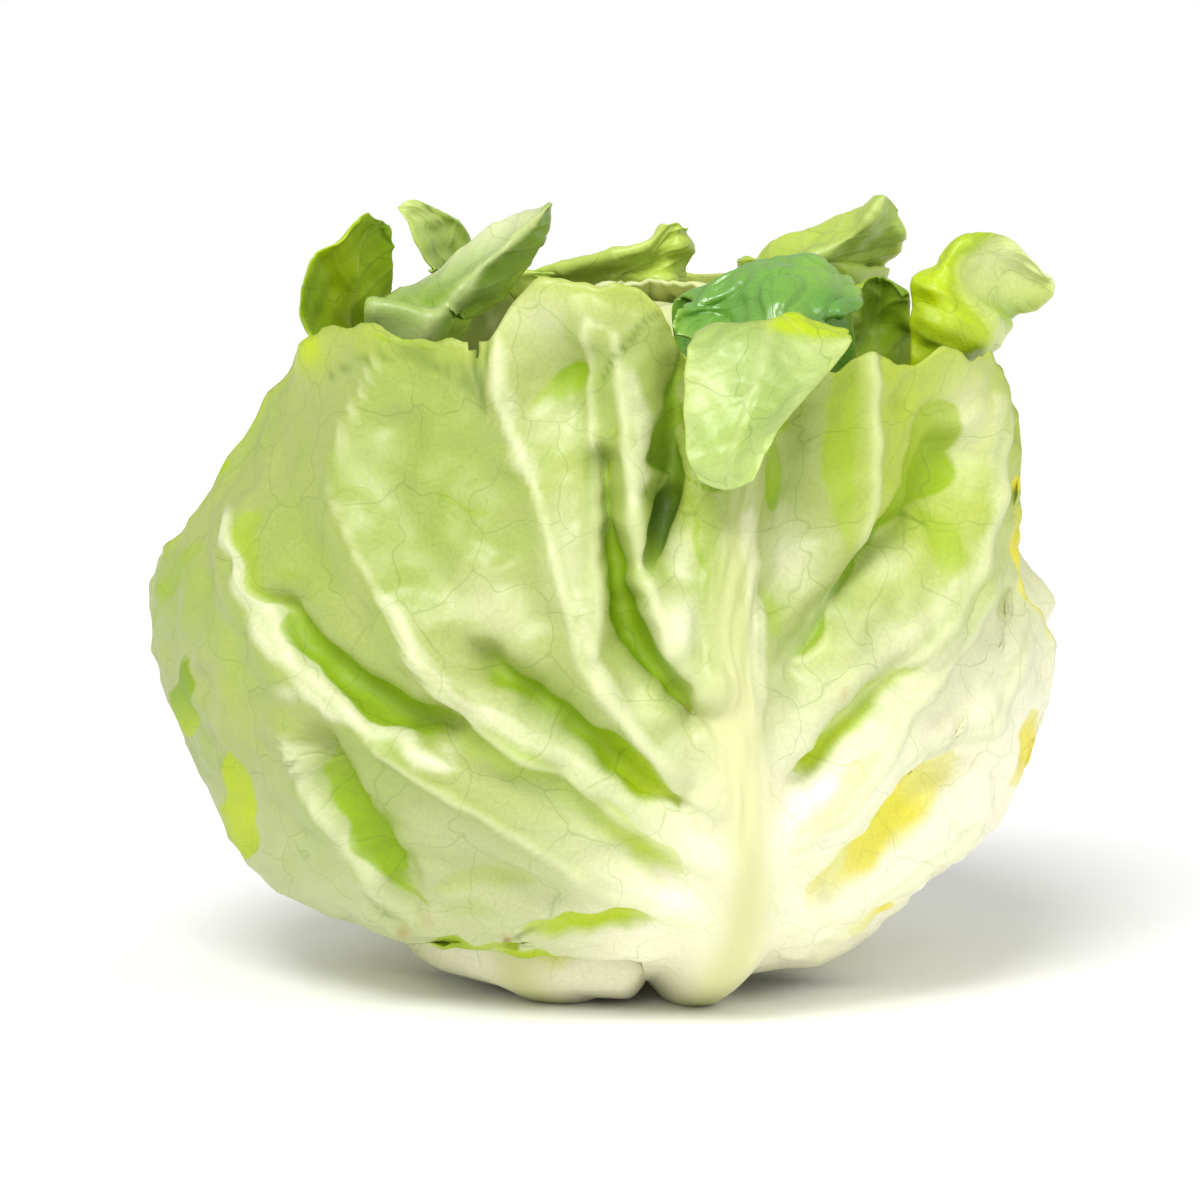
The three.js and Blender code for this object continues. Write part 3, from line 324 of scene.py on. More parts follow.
# Runs, turns or shares between which a leaf reaches its depth, sags, or has a waved margin.
DEEPENS = (20, 46)
SAG_FROM = (16, 30)
SAG_TO = (38, 52)
SAG_LEFT = (-6, 6)
RIM_WAVES = (0.86, 1)
WAVES_FROM = (0.2, 0.45)
# Their side veins: rows as shares of the leaf, width in mm, and where the relief of those fades.
VEIN_ROWS = (3, 5, 7, 9, 11, 13)
VEIN_SHARES = 15
FOLD_WIDTH = 4.5
SHOWN_FADE = 18
MARGIN_FADE = (3, 14)
SIDE_FOLDS_START = (30, 60)
# The midrib: height and half-width along it, its length, and where the high foot of it ends.
KEEL = [
    (4.8, 7), (5.2, 7.5), (5, 8.5), (4.4, 10), (3.6, 9.5), (2.8, 8.5), (2, 7), (1.3, 5.5), (0.7, 4),
    (0.3, 3),
]
KEEL_RUN = 175
BASE_KEEL_END = (28, 42)
FOOT_FROM = (12, 22)
KEEL_FLAT = 2.6
KEEL_FALL = 1.6
KEEL_INSIDE = 0.08
NEAR_RIB = 24
RIB_STREAKS = 0.22
# Puckers: height, size and seed, added to the leaf's number.
PUCKERS = [(0.45, 11, 0), (0.18, 5.5, 50)]
# Half the thickness, the share of it left at the margin, and over which shares it thins.
WRAPPER_HALF = 0.4
MARGIN_SHARE = 0.4
MARGIN_THINS = 0.06
RIM_THINS = 0.05
INNER_FLOOR = 0.05
# Where the outer leaves are pale or lime: runs, or mm across and up. The pale lower right corner is partly
# painted light, the pale base the leaf's own colour, and the lime rim and corner partly painted glow.
RIB_FADES = (75, 150)
RIB_FADES_BY = 0.65
PALE_CORNER = (-40, 12)
PALE_RIGHT = (-10, 45)
PALE_FOOT = (-50, -8)
FOOT_PALE = 0.35
BASE_PALE = 0.6
RIM_LIME = 0.35
CORNER_LIME = 0.55
LIME_RIGHT = (38, 52)
LIME_UP = (62, 84)

# The leaves of the opening. Rows from the rim to the tip, each of five points from the left margin
# to the right one: across and down in steps of the front view, and mm away from the front.
# lime, paler, deep and greener tint each leaf: lime and paler are partly painted light, deep partly painted
# shade.
TIPS = [
    dict(name="tip_left", turn=-82, half=27, depth=-17, join=126, lime=0.75, deep=0.3, ribbed=0.12,
         top=[
        [(350, 386, -22), (345, 384, -14), (341, 384, -6), (347, 380, 2), (355, 378, 9)],
        [(306, 332, -21), (327, 340, -14), (350, 344, -9), (374, 338, -3), (391, 330, 3)],
        [(308, 284, -22), (330, 290, -15), (352, 293, -9), (375, 292, -4), (394, 288, 0)],
        [(326, 252, -21), (342, 255, -15), (359, 256, -11), (378, 256, -7), (394, 256, -4)],
        [(350, 233, -20), (362, 232, -16), (371, 231, -12), (381, 232, -8), (391, 240, -6)],
        [(374, 224, -16), (378, 223, -14), (381, 222, -12), (384, 223, -10), (388, 227, -8)]]),
    dict(name="tip_back_left", turn=-138, half=25, depth=-21, join=126, lime=0.3, deep=0.0,
         ribbed=0.15, paler=(0.2, 0.1), top=[
        [(432, 290, 22), (440, 290, 27), (447, 290, 29), (458, 290, 31), (470, 286, 33)],
        [(431, 266, 20), (438, 268, 25), (445, 266, 28), (458, 262, 30), (478, 262, 33)],
        [(416, 240, 19), (430, 240, 23), (446, 242, 26), (456, 241, 29), (474, 246, 33)],
        [(405, 218, 20), (420, 219, 22), (438, 220, 25), (455, 220, 28), (464, 232, 31)],
        [(399, 203, 21), (408, 198, 22), (419, 199, 23), (436, 213, 25), (452, 219, 27)]]),
    dict(name="tip_folded", turn=-106, half=27, depth=-25, join=118, lime=0.2, deep=0.1, ribbed=0.35,
         paler=(0.45, 0.0), greener=(0.0, 0.5), top=[
        [(366, 328, -15), (395, 334, -17), (425, 346, -18), (440, 346, -12), (455, 345, -4)],
        [(384, 302, -8), (418, 305, -12), (450, 312, -16), (466, 316, -9), (482, 314, -1)],
        [(427, 277, -3), (455, 277, -9), (480, 274, -14), (502, 282, -7), (524, 276, 1)],
        [(472, 246, 0), (492, 246, -6), (509, 249, -11), (527, 256, -5), (542, 250, 3)],
        [(512, 217, 3), (526, 219, -2), (535, 224, -6), (541, 230, -2), (543, 234, 3)],
        [(544, 205, 3), (548, 204, 0), (552, 205, -3), (554, 207, -1), (555, 211, 2)]]),
    dict(name="tip_back", turn=178, half=25, depth=-17, join=128, lime=0.6, deep=0.0, ribbed=0.12,
         paler=(0.15, 0.1), top=[
        [(512, 292, 36), (560, 296, 35), (610, 296, 33), (655, 299, 28), (673, 299, 35)],
        [(533, 268, 34), (575, 268, 30), (620, 270, 30), (664, 276, 27), (685, 275, 34)],
        [(582, 252, 31), (610, 254, 25), (640, 261, 28), (674, 256, 26), (690, 255, 32)],
        [(628, 247, 28), (645, 243, 25), (661, 238, 26), (679, 237, 25), (691, 236, 30)],
        [(660, 228, 26), (668, 223, 25), (676, 220, 25), (682, 223, 25), (688, 229, 27)]]),
    dict(name="tip_back_right", turn=134, half=25, depth=-21, join=126, lime=0.45, deep=0.0,
         ribbed=0.2, paler=(0.08, 0.12), top=[
        [(745, 278, 30), (772, 282, 22), (800, 284, 14), (850, 290, 17), (880, 290, 25)],
        [(756, 261, 28), (780, 263, 20), (806, 263, 11), (850, 266, 17), (886, 266, 23)],
        [(796, 233, 24), (815, 240, 17), (836, 246, 10), (868, 248, 16), (900, 246, 20)],
        [(840, 213, 20), (854, 220, 14), (866, 225, 9), (886, 226, 14), (906, 232, 17)],
        [(874, 198, 16), (879, 196, 13), (884, 195, 10), (892, 201, 12), (900, 212, 14)]]),
    dict(name="tip_right", turn=84, half=27, depth=-17, join=126, lime=0.95, deep=0.0, ribbed=0.1,
         paler=(0.0, 0.4), top=[
        [(905, 384, -26), (940, 390, -24), (966, 382, -13), (974, 372, -4), (972, 366, 4)],
        [(907, 335, -25), (942, 337, -28), (988, 338, -20), (1004, 334, -9), (992, 330, 0)],
        [(912, 288, -23), (934, 286, -26), (954, 291, -23), (1000, 303, -8), (1028, 308, -3)],
        [(932, 258, -21), (946, 256, -23), (957, 260, -21), (1006, 266, -8), (1051, 296, -8)],
        [(966, 240, -19), (978, 237, -18), (992, 237, -16), (1018, 252, -11), (1040, 278, -10)]]),
    dict(name="tip_right_inner", turn=98, half=22, depth=-25, join=120, lime=0.5, deep=0.35,
         ribbed=0.1, top=[
        [(836, 362, -4), (855, 364, 2), (875, 364, 5), (895, 364, 8), (911, 362, 12)],
        [(842, 322, -4), (858, 318, 1), (876, 320, 5), (895, 318, 5), (910, 322, 6)],
        [(850, 290, -4), (862, 285, 0), (878, 283, 3), (895, 288, 3), (909, 297, 3)],
        [(858, 281, -3), (866, 277, -1), (878, 275, 1), (892, 283, 2), (905, 292, 2)]]),
    dict(name="tip_shiny", turn=48, half=27, depth=-21, join=122, lime=0.1, deep=0.1, ribbed=0.0,
         puckers=1.1, top=[
        [(672, 336, -34), (715, 332, -34), (765, 327, -32), (810, 327, -27), (850, 332, -22)],
        [(688, 303, -37), (722, 281, -37), (766, 264, -35), (810, 266, -32), (848, 281, -27)],
        [(680, 316, -44), (722, 300, -41), (768, 281, -45), (815, 283, -42), (860, 298, -36)],
        [(673, 328, -49), (715, 324, -43), (765, 308, -52), (815, 306, -47), (857, 314, -40)],
        [(690, 344, -50), (725, 342, -50), (768, 336, -55), (812, 334, -50), (836, 318, -44)]]),
    dict(name="tip_flap", turn=14, half=25, depth=-17, join=142, lime=0.1, deep=0.0, ribbed=0.22,
         paler=(0.25, 0.2), top=[
        [(692, 354, -57), (730, 352, -56), (768, 350, -54.5), (806, 350, -52), (835, 354, -48.4)],
        [(690, 345, -63), (725, 334, -63.5), (762, 328, -62), (805, 332, -60), (842, 342, -56)],
        [(685, 358, -69), (722, 352, -69.5), (760, 350, -69), (802, 361, -66), (842, 354, -61)],
        [(681, 400, -74), (712, 402, -75.5), (745, 405, -76.5), (775, 402, -74), (807, 396, -70)],
        [(683, 450, -77), (705, 455, -78.3), (727, 460, -79), (748, 456, -78), (768, 445, -76)],
        [(696, 484, -78.5), (710, 491, -79), (725, 494, -79.3), (738, 490, -79), (748, 485, -78.5)]]),
]
# Rows between the outer leaves, grid, its crowding towards the tip, where the tip is free of the
# others, mm between veins, and the part of the flap that is rolled.
HUG_ROWS = 7
TIP_COUNTS = (130, 61)
TIP_CROWD = 0.6
TIP_FREE = (0.62, 0.85)
TIP_VEINS_APART = 8.5
FIRST_TIP_SEED = 10
ROLLED_RIGHT = (-0.3, 0.1)
ROLLED_UP = (0.7, 0.74)

HEART = dict(x=8, y=1, radius=35, bottom=46, top=124, thickness=1.2, root=3.4, core_below=2.5)
HEART_LEAVES = [(20, 158), (155, 166), (-90, 172), (75, 150), (-150, 155), (-25, 146)]
HEART_GRID = 70
STEM_PROFILE = [
    (0, 0), (4, 0), (8, 0), (9.2, 0), (9.9, 0.35), (10.2, 1), (10.2, 8), (10.2, 20), (8.6, 32), (7, 44),
    (3, 44), (0, 44),
]
STEM_SIDES = 96
STEM_UNEVEN = 0.025
WELD_MM = 0.01

# Colours that all leaves share.
# The pale colour is the leaf's own and that of painted highlights; the darkest pool colour is painted
# shadow.
PALE = "f7f5d6"
POOL_YELLOW = "ecdf38"
POOL_SHADOW = "3f5c00"
NET = "b4c487"
VEIN = "dde3ae"
RIB = "d8da9e"
BRUISE = "66801c"
RUST = "a8742c"
# Noise, its scale per mm, and the nets of small veins: size, unevenness and width of a line.
BEND_SCALE = 0.12
BEND_MM = (7, 7, 7)
BROAD_SCALE = 0.035
BROAD_SHARE = 0.28
GRAIN_SCALE = 1.2
COARSE_NET = (16, 0.95, 0.016)
COARSE_SHARE = 0.8
FINE_NET = (5, 1.0, 0.045)
FINE_SHARE = 0.3
SPECKLE = (0.96, 1.03)
VEIN_SHARE = 0.75
NET_RISE = -0.5
GRAIN_RISE = 0.22
BUMP_STRENGTH = 0.35
BUMP_MM = 0.4
HOLLOW_ROUGHER = 0.25
COAT = 0.08
COAT_ROUGHNESS = 0.3
MASKS = ("rib", "vein", "crease", "lime", "pale", "bruise", "rust", "tone", "fill")
FLAT_APART = 137.0

# The studio. Lights: name, kind, azimuth, rise, power, and angle in degrees or width in metres.
FLOOR_SIZE = 9
FLOOR_COLOUR = (0.96, 0.96, 0.96, 1)
WORLD_STRENGTH = 0.52
MIDDLE = Vector((-0.00027, 0, 0.0678))
LIGHTS = [
    ("key", "SUN", -16, 50, 2.1, 26),
    ("softbox_left", "AREA", -50, 38, 2.4, 0.45),
    ("softbox_right", "AREA", 50, 30, 3.2, 0.5),
]
LIGHT_DISTANCE = 1.2
# The camera: its sensor in mm, and in metres the width seen at the head and the distance.
SENSOR = 36
VIEW_WIDTH = 0.216
CAMERA_DISTANCE = 2.6


def smoothstep(x, low, high):
    t = np.clip((np.asarray(x, float) - low) / (high - low), 0, 1)
    return t * t * (3 - 2 * t)


def bell(x, wide):
    """1 at zero, falling softly to nothing on both sides."""
    return np.exp(-(x / wide) ** 2)


def lerp(a, b, t):
    return a + (b - a) * t


def along(rows, share):
    """Points on the smooth line through rows, at shares of its length in rows."""
    rows = np.asarray(rows, float)
    ends = np.concatenate([[2 * rows[0] - rows[1]], rows, [2 * rows[-1] - rows[-2]]])
    at = np.clip(np.asarray(share, float), 0, 1) * (len(rows) - 1)
    i = np.minimum(at.astype(int), len(rows) - 2)
    t = (at - i).reshape(at.shape + (1,) * (rows.ndim - 1))
    a, b, c, d = ends[i], ends[i + 1], ends[i + 2], ends[i + 3]
    return 0.5 * (2 * b + (c - a) * t + (2 * a - 5 * b + 4 * c - d) * t ** 2
                  + (3 * b - a - 3 * c + d) * t ** 3)


outline_points = along(OUTLINE, np.linspace(0, 1, OUTLINE_STEPS))
outline_steps = np.linalg.norm(np.diff(outline_points, axis=0), axis=1)
outline_runs = np.concatenate([[0], np.cumsum(outline_steps)])


def outline_at(run):
    """Radius and height of the head's outline at a run, the length along it from the axis."""
    return tuple(np.interp(run, outline_runs, outline_points[:, k]) for k in (0, 1))


def outwards(radius, height):
    length = np.hypot(radius, height - SHRINK_CENTRE)
    low = height < SHRINK_CENTRE
    return np.where(low, radius / length, 1), np.where(low, (height - SHRINK_CENTRE) / length, 0)


def lean(height):
    low = 1 - smoothstep(height, 0, STEM["leads_to"])
    rim = smoothstep(height, RIM_SHIFT["low"], RIM_SHIFT["high"])
    return STEM["x"] * low + RIM_SHIFT["x"] * rim, STEM["y"] * low


def to_line(points, x, y, stretch=1.0):
    """Least distance from places to a line, and the share of its length passed there.

    The first coordinates of the line's points are multiplied by stretch."""
    least, share = np.full(np.shape(x), np.inf), np.zeros(np.shape(x))
    parts = []
    for (ax, ay), (bx, by) in zip(points, points[1:]):
        dx, dy = bx * stretch - ax * stretch, by - ay
        parts.append((ax * stretch, ay, dx, dy, np.hypot(dx, dy)))
    total = sum(part[-1] for part in parts)
    passed = 0
    for ax, ay, dx, dy, length in parts:
        t = np.clip(((x - ax) * dx + (y - ay) * dy) / length ** 2, 0, 1)
        d = np.hypot(x - ax - t * dx, y - ay - t * dy)
        share = np.where(d < least, (passed + t * length) / total, share)
        least = np.minimum(least, d)
        passed = passed + length
    return least, share


def pool(points, x, y, soft_left=0, soft_right=0):
    """How far inside a band of uneven width places are, and what its points say there.

    What they say is the half-width, the points' further values and the softness of the near bank."""
    least, told = np.full(np.shape(x), np.inf), np.zeros(np.shape(x) + (len(points[0]) - 1,))
    for a, b in zip(np.array(points[:-1], float), np.array(points[1:], float)):
        step = b[:2] - a[:2]
        dx, dy = x - a[0], y - a[1]
        t = np.clip((dx * step[0] + dy * step[1]) / (step @ step), 0, 1)
        d = np.hypot(dx - t * step[0], dy - t * step[1])
        near = d < least
        least = np.where(near, d, least)
        side = np.where(step[0] * dy - step[1] * dx > 0, soft_right, soft_left)
        values = a[2:] + t[..., None] * (b[2:] - a[2:])
        told = np.where(near[..., None], np.concatenate([values, side[..., None]], -1), told)
    return told[..., 0] - least, told


def fold(line, x, y, depth, stretch=1.0):
    """Height of one ridge or valley at a depth, where a valley is wider and both are lower."""
    points, wide, height = line
    reach = RIDGE_REACH
    if height < 0:
        wide, reach = wide - VALLEY_WIDENS * depth, FOLD_REACH
    return height * np.exp(depth / reach - (to_line(points, x, y, stretch)[0] / wide) ** 2)


def wrap_degrees(angle):
    return (angle + 540) % 360 - 180


def front_view(turn, run):
    """Across and up in mm, as seen from the front, of a place on the outline."""
    radius, height = outline_at(run)
    lean_x, lean_y = lean(height)
    across = lean_x + radius * np.sin(turn)
    away = lean_y - radius * np.cos(turn)
    return across, height * math.cos(VIEW_RISE) + (away + FRONT_FOOT) * math.sin(VIEW_RISE)


def patch(x, y, at_x, at_y, reach_x, reach_y, angle):
    """1 in the middle of a soft oval, in steps of the front view, turned by an angle in degrees."""
    c, s = math.cos(math.radians(angle)), math.sin(math.radians(angle))
    dx, dy = x - at_x, y - at_y
    return np.exp(-((dx * c + dy * s) / reach_x) ** 2 - ((dy * c - dx * s) / reach_y) ** 2)


def inside(x, y, corners):
    """True for places inside a polygon."""
    hit = np.zeros(np.shape(x), bool)
    for (ax, ay), (bx, by) in zip(corners, corners[1:] + corners[:1]):
        if ay != by:
            hit ^= ((ay > y) != (by > y)) & (x < ax + (bx - ax) * (y - ay) / (by - ay))
    return hit


# The leaves on the sides, each with its folds, once they are worked out.
side_folds = []


def on_leaf(leaf, points):
    """Points of a fold with their turn counted from the leaf's middle."""
    return [(at_turn - leaf["turn"], at_run) for at_turn, at_run in points]


def relief(turn, run, depth):
    """How far the head's surface stands out at a place, in mm."""
    radius, _ = outline_at(run)
    degrees = np.degrees(turn)
    out = np.zeros(np.shape(radius))
    for at_turn, at_run, spread, length, swell in SWELLS:
        across = wrap_degrees(degrees - at_turn) / spread
        out += swell * np.exp(depth / FOLD_REACH - across ** 2 - ((run - at_run) / length) ** 2)
    facing = smoothstep(np.cos(turn), *FACING)
    if facing.max() > 0:
        across, up = front_view(turn, run)
        for line in RIDGES + VALLEYS:
            out += facing * fold(line, across, up, depth)
    for leaf, lines in side_folds:
        start = wrap_degrees(degrees - leaf["turn"])
        first, last = leaf["shown"]
        share = (smoothstep(start, first, first + SHOWN_FADE)
                 * smoothstep(-start, -last, SHOWN_FADE - last)
                 * smoothstep(leaf["half"] - np.abs(start), *MARGIN_FADE)
                 * smoothstep(run, *SIDE_FOLDS_START))
        share = np.where(depth > leaf["depth"] + 1, 0, share)
        if share.max() == 0:
            continue
        mm = np.radians(radius)
        below = np.minimum(0, depth - leaf["depth"])
        for points, width, high in lines:
            out += share * fold((on_leaf(leaf, points), width, high), start * mm, run, below, mm)
    return out


def place(turn, run, depth):
    """Where a turn, a run and a depth are in the head."""
    turn, run, depth = np.broadcast_arrays(*(np.asarray(a, float) for a in (turn, run, depth)))
    radius, height = outline_at(run)
    out_radius, out_height = outwards(radius, height)
    out = depth + relief(turn, run, np.minimum(depth, 0))
    r, z = radius + out_radius * out, height + out_height * out
    lean_x, lean_y = lean(z)
    return np.stack([lean_x + r * np.sin(turn), lean_y - r * np.cos(turn), z], -1)


def start_run(depth):
    """The first run at which a leaf of this depth is clear of the stem."""
    run = LEAF_START
    while run < LAST_START:
        radius, height = outline_at(run)
        if radius + outwards(radius, height)[0] * depth >= LEAF_START:
            break
        run += START_STEP
    return run


def row_place(leaf, u, v):
    mid_run, left_turn, left_run, right_turn, right_run = np.moveaxis(along(leaf["outline"], u), -1, 0)
    edge_turn, edge_run = np.where(v < 0, left_turn, right_turn), np.where(v < 0, left_run, right_run)
    reach = np.abs(v)
    turn = leaf["turn"] + (edge_turn - leaf["turn"]) * (1 - (1 - reach) ** TURN_POWER)
    bend = lerp(leaf["bend"], TOP_BEND, smoothstep(mid_run, *BEND_CHANGES))
    return turn, mid_run + (edge_run - mid_run) * reach ** bend


def outline_of(leaf):
    start = start_run(leaf["depth"] * BASE_DEPTH)
    rows = []
    for k, (mid, wide, up) in enumerate(WRAPPER_ROWS):
        lowered = up * lerp(leaf["low"], 1, float(smoothstep(k, *LOWERED_ROWS)))
        edge = start + (leaf["rim"] - start) * lowered
        rows.append((start + (leaf["rim"] - start) * mid, leaf["turn"] - leaf["half"] * wide, edge,
                     leaf["turn"] + leaf["half"] * wide, edge))
    return rows


def folds_of(leaf):
    """Side veins of a leaf with a hollow above each: points of turn and run, width and height."""
    lines = []

    def line(u, reach, side):
        v = np.array([0.06, 0.25, 0.45, 0.65, reach]) * side
        return list(zip(*row_place(leaf, np.full(len(v), u), v)))

    for side in (-1, 1):
        for k, row in enumerate(VEIN_ROWS):
            ridge, valley = row / VEIN_SHARES, row / VEIN_SHARES + 1 / VEIN_SHARES
            lines.append((line(ridge, 0.9, side), FOLD_WIDTH, 2.2 + 0.8 * math.sin(2.1 * k + side)))
            lines.append((line(valley, 0.8, side), FOLD_WIDTH, -2.6 - math.sin(1.7 * k + 2 * side)))
    return lines


def keel_at(leaf, run, away):
    """How far the midrib stands out, and the share of its half-width that a place is from it."""
    high, wide = np.moveaxis(along(KEEL, run / KEEL_RUN), -1, 0)
    foot = leaf["foot"] * smoothstep(run, *FOOT_FROM) if leaf["foot"] > 0 else leaf["foot"]
    top = lerp(high + foot, np.minimum(high, leaf["keel"]), smoothstep(run, *BASE_KEEL_END))
    t = np.minimum(1, np.abs(away) / wide)
    return top * (1 - t ** KEEL_FLAT) ** KEEL_FALL, t


def ripples(x, y, scale, seed, count=14):
    """A soft random field between about -1 and 1 with bumps of the given size in mm."""
    draw = np.random.default_rng(seed)
    total = np.zeros(np.shape(x))
    for _ in range(count):
        angle, phase = draw.uniform(0, 2 * math.pi, 2)
        k = 2 * math.pi / (scale * draw.uniform(0.75, 1.5))
        total += np.cos(k * (x * math.cos(angle) + y * math.sin(angle)) + phase)
    return total / math.sqrt(count)


def normals_of(middle):
    out = np.cross(np.gradient(middle, axis=1), np.gradient(middle, axis=0))
    return out / np.maximum(np.linalg.norm(out, axis=-1, keepdims=True), 1e-9)


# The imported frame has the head's box centred: its stem says by how much it was moved.
stem_low, stem_high = (np.array(corner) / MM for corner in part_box("stem"))
foot_x, foot_y = lean(1.0)
ORIGIN = np.array([stem_high[0] - foot_x - STEM["radius"], stem_low[1] - foot_y + STEM["radius"], 0])


def sheet(outer, inner, masks, keep=None):
    """Points, faces and masks of a closed sheet, with cells left out where keep is False."""
    rows, columns = outer.shape[:2]
    index = np.arange(rows * columns).reshape(rows, columns)
    keep = np.ones((rows - 1, columns - 1), bool) if keep is None else keep
    corners = (index[:-1, :-1], index[:-1, 1:], index[1:, 1:], index[1:, :-1])
    a, b, c, d = (corner[keep] for corner in corners)
    n = rows * columns
    faces = [np.stack([a, b, c, d], 1), np.stack([a, d, c, b], 1) + n]
    around = np.pad(keep, 1)
    across = (around[:-1, 1:-1], around[1:, 1:-1], index[:, :-1], index[:, 1:])
    upright = (around[1:-1, :-1], around[1:-1, 1:], index[:-1, :], index[1:, :])
    for (before, after, p, q), turn in ((across, 1), (upright, -1)):
        for hit, flip in ((after & ~before, turn), (before & ~after, -turn)):
            s, e = (q[hit], p[hit]) if flip > 0 else (p[hit], q[hit])
            faces.append(np.stack([s, e, e + n, s + n], 1))
    faces = np.concatenate(faces)
    points = np.concatenate([outer.reshape(-1, 3), inner.reshape(-1, 3)])
    used = np.unique(faces)
    renumber = np.full(len(points), -1)
    renumber[used] = np.arange(len(used))
    faces, points = renumber[faces], points[used]
    p = points[faces]
    volume = sum(np.einsum("ij,ij->i", p[:, 0], np.cross(p[:, k], p[:, k + 1])).sum() for k in (1, 2))
    if volume < 0:
        faces = faces[:, ::-1]
    doubled = {key: np.concatenate([value.reshape(n, -1)] * 2)[used] for key, value in masks.items()}
    return points, faces.tolist(), doubled


def mesh_object(name, points, faces, masks):
    mesh = bpy.data.meshes.new(name)
    mesh.from_pydata(((points + ORIGIN) * MM).tolist(), [], faces)
    mesh.shade_smooth()
    for key, value in masks.items():
        kind, field = ("FLOAT_VECTOR", "vector") if value.shape[1] == 3 else ("FLOAT", "value")
        layer = mesh.attributes.new(key, kind, "POINT")
        layer.data.foreach_set(field, value.astype(np.float32).ravel())
    made = bpy.data.objects.new(name, mesh)
    bpy.context.scene.collection.objects.link(made)
    return made


def dress(piece, node, slot):
    piece.data.materials.append(MATERIALS[slot])
    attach(piece, "root")
    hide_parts(node)


def colour(code):
    """Linear values of a colour written as six hex digits."""
    parts = [int(code[k:k + 2], 16) / 255 for k in (0, 2, 4)]
    return tuple(p / 12.92 if p <= 0.04045 else ((p + 0.055) / 1.055) ** 2.4 for p in parts) + (1,)


def node(tree, kind, inputs=None, **settings):
    made = tree.nodes.new("ShaderNode" + kind)
    for key, value in settings.items():
        setattr(made, key, value)
    for key, value in (inputs or {}).items():
        socket = made.inputs[key]
        if isinstance(value, bpy.types.NodeSocket):
            tree.links.new(value, socket)
        else:
            socket.default_value = value
    return made


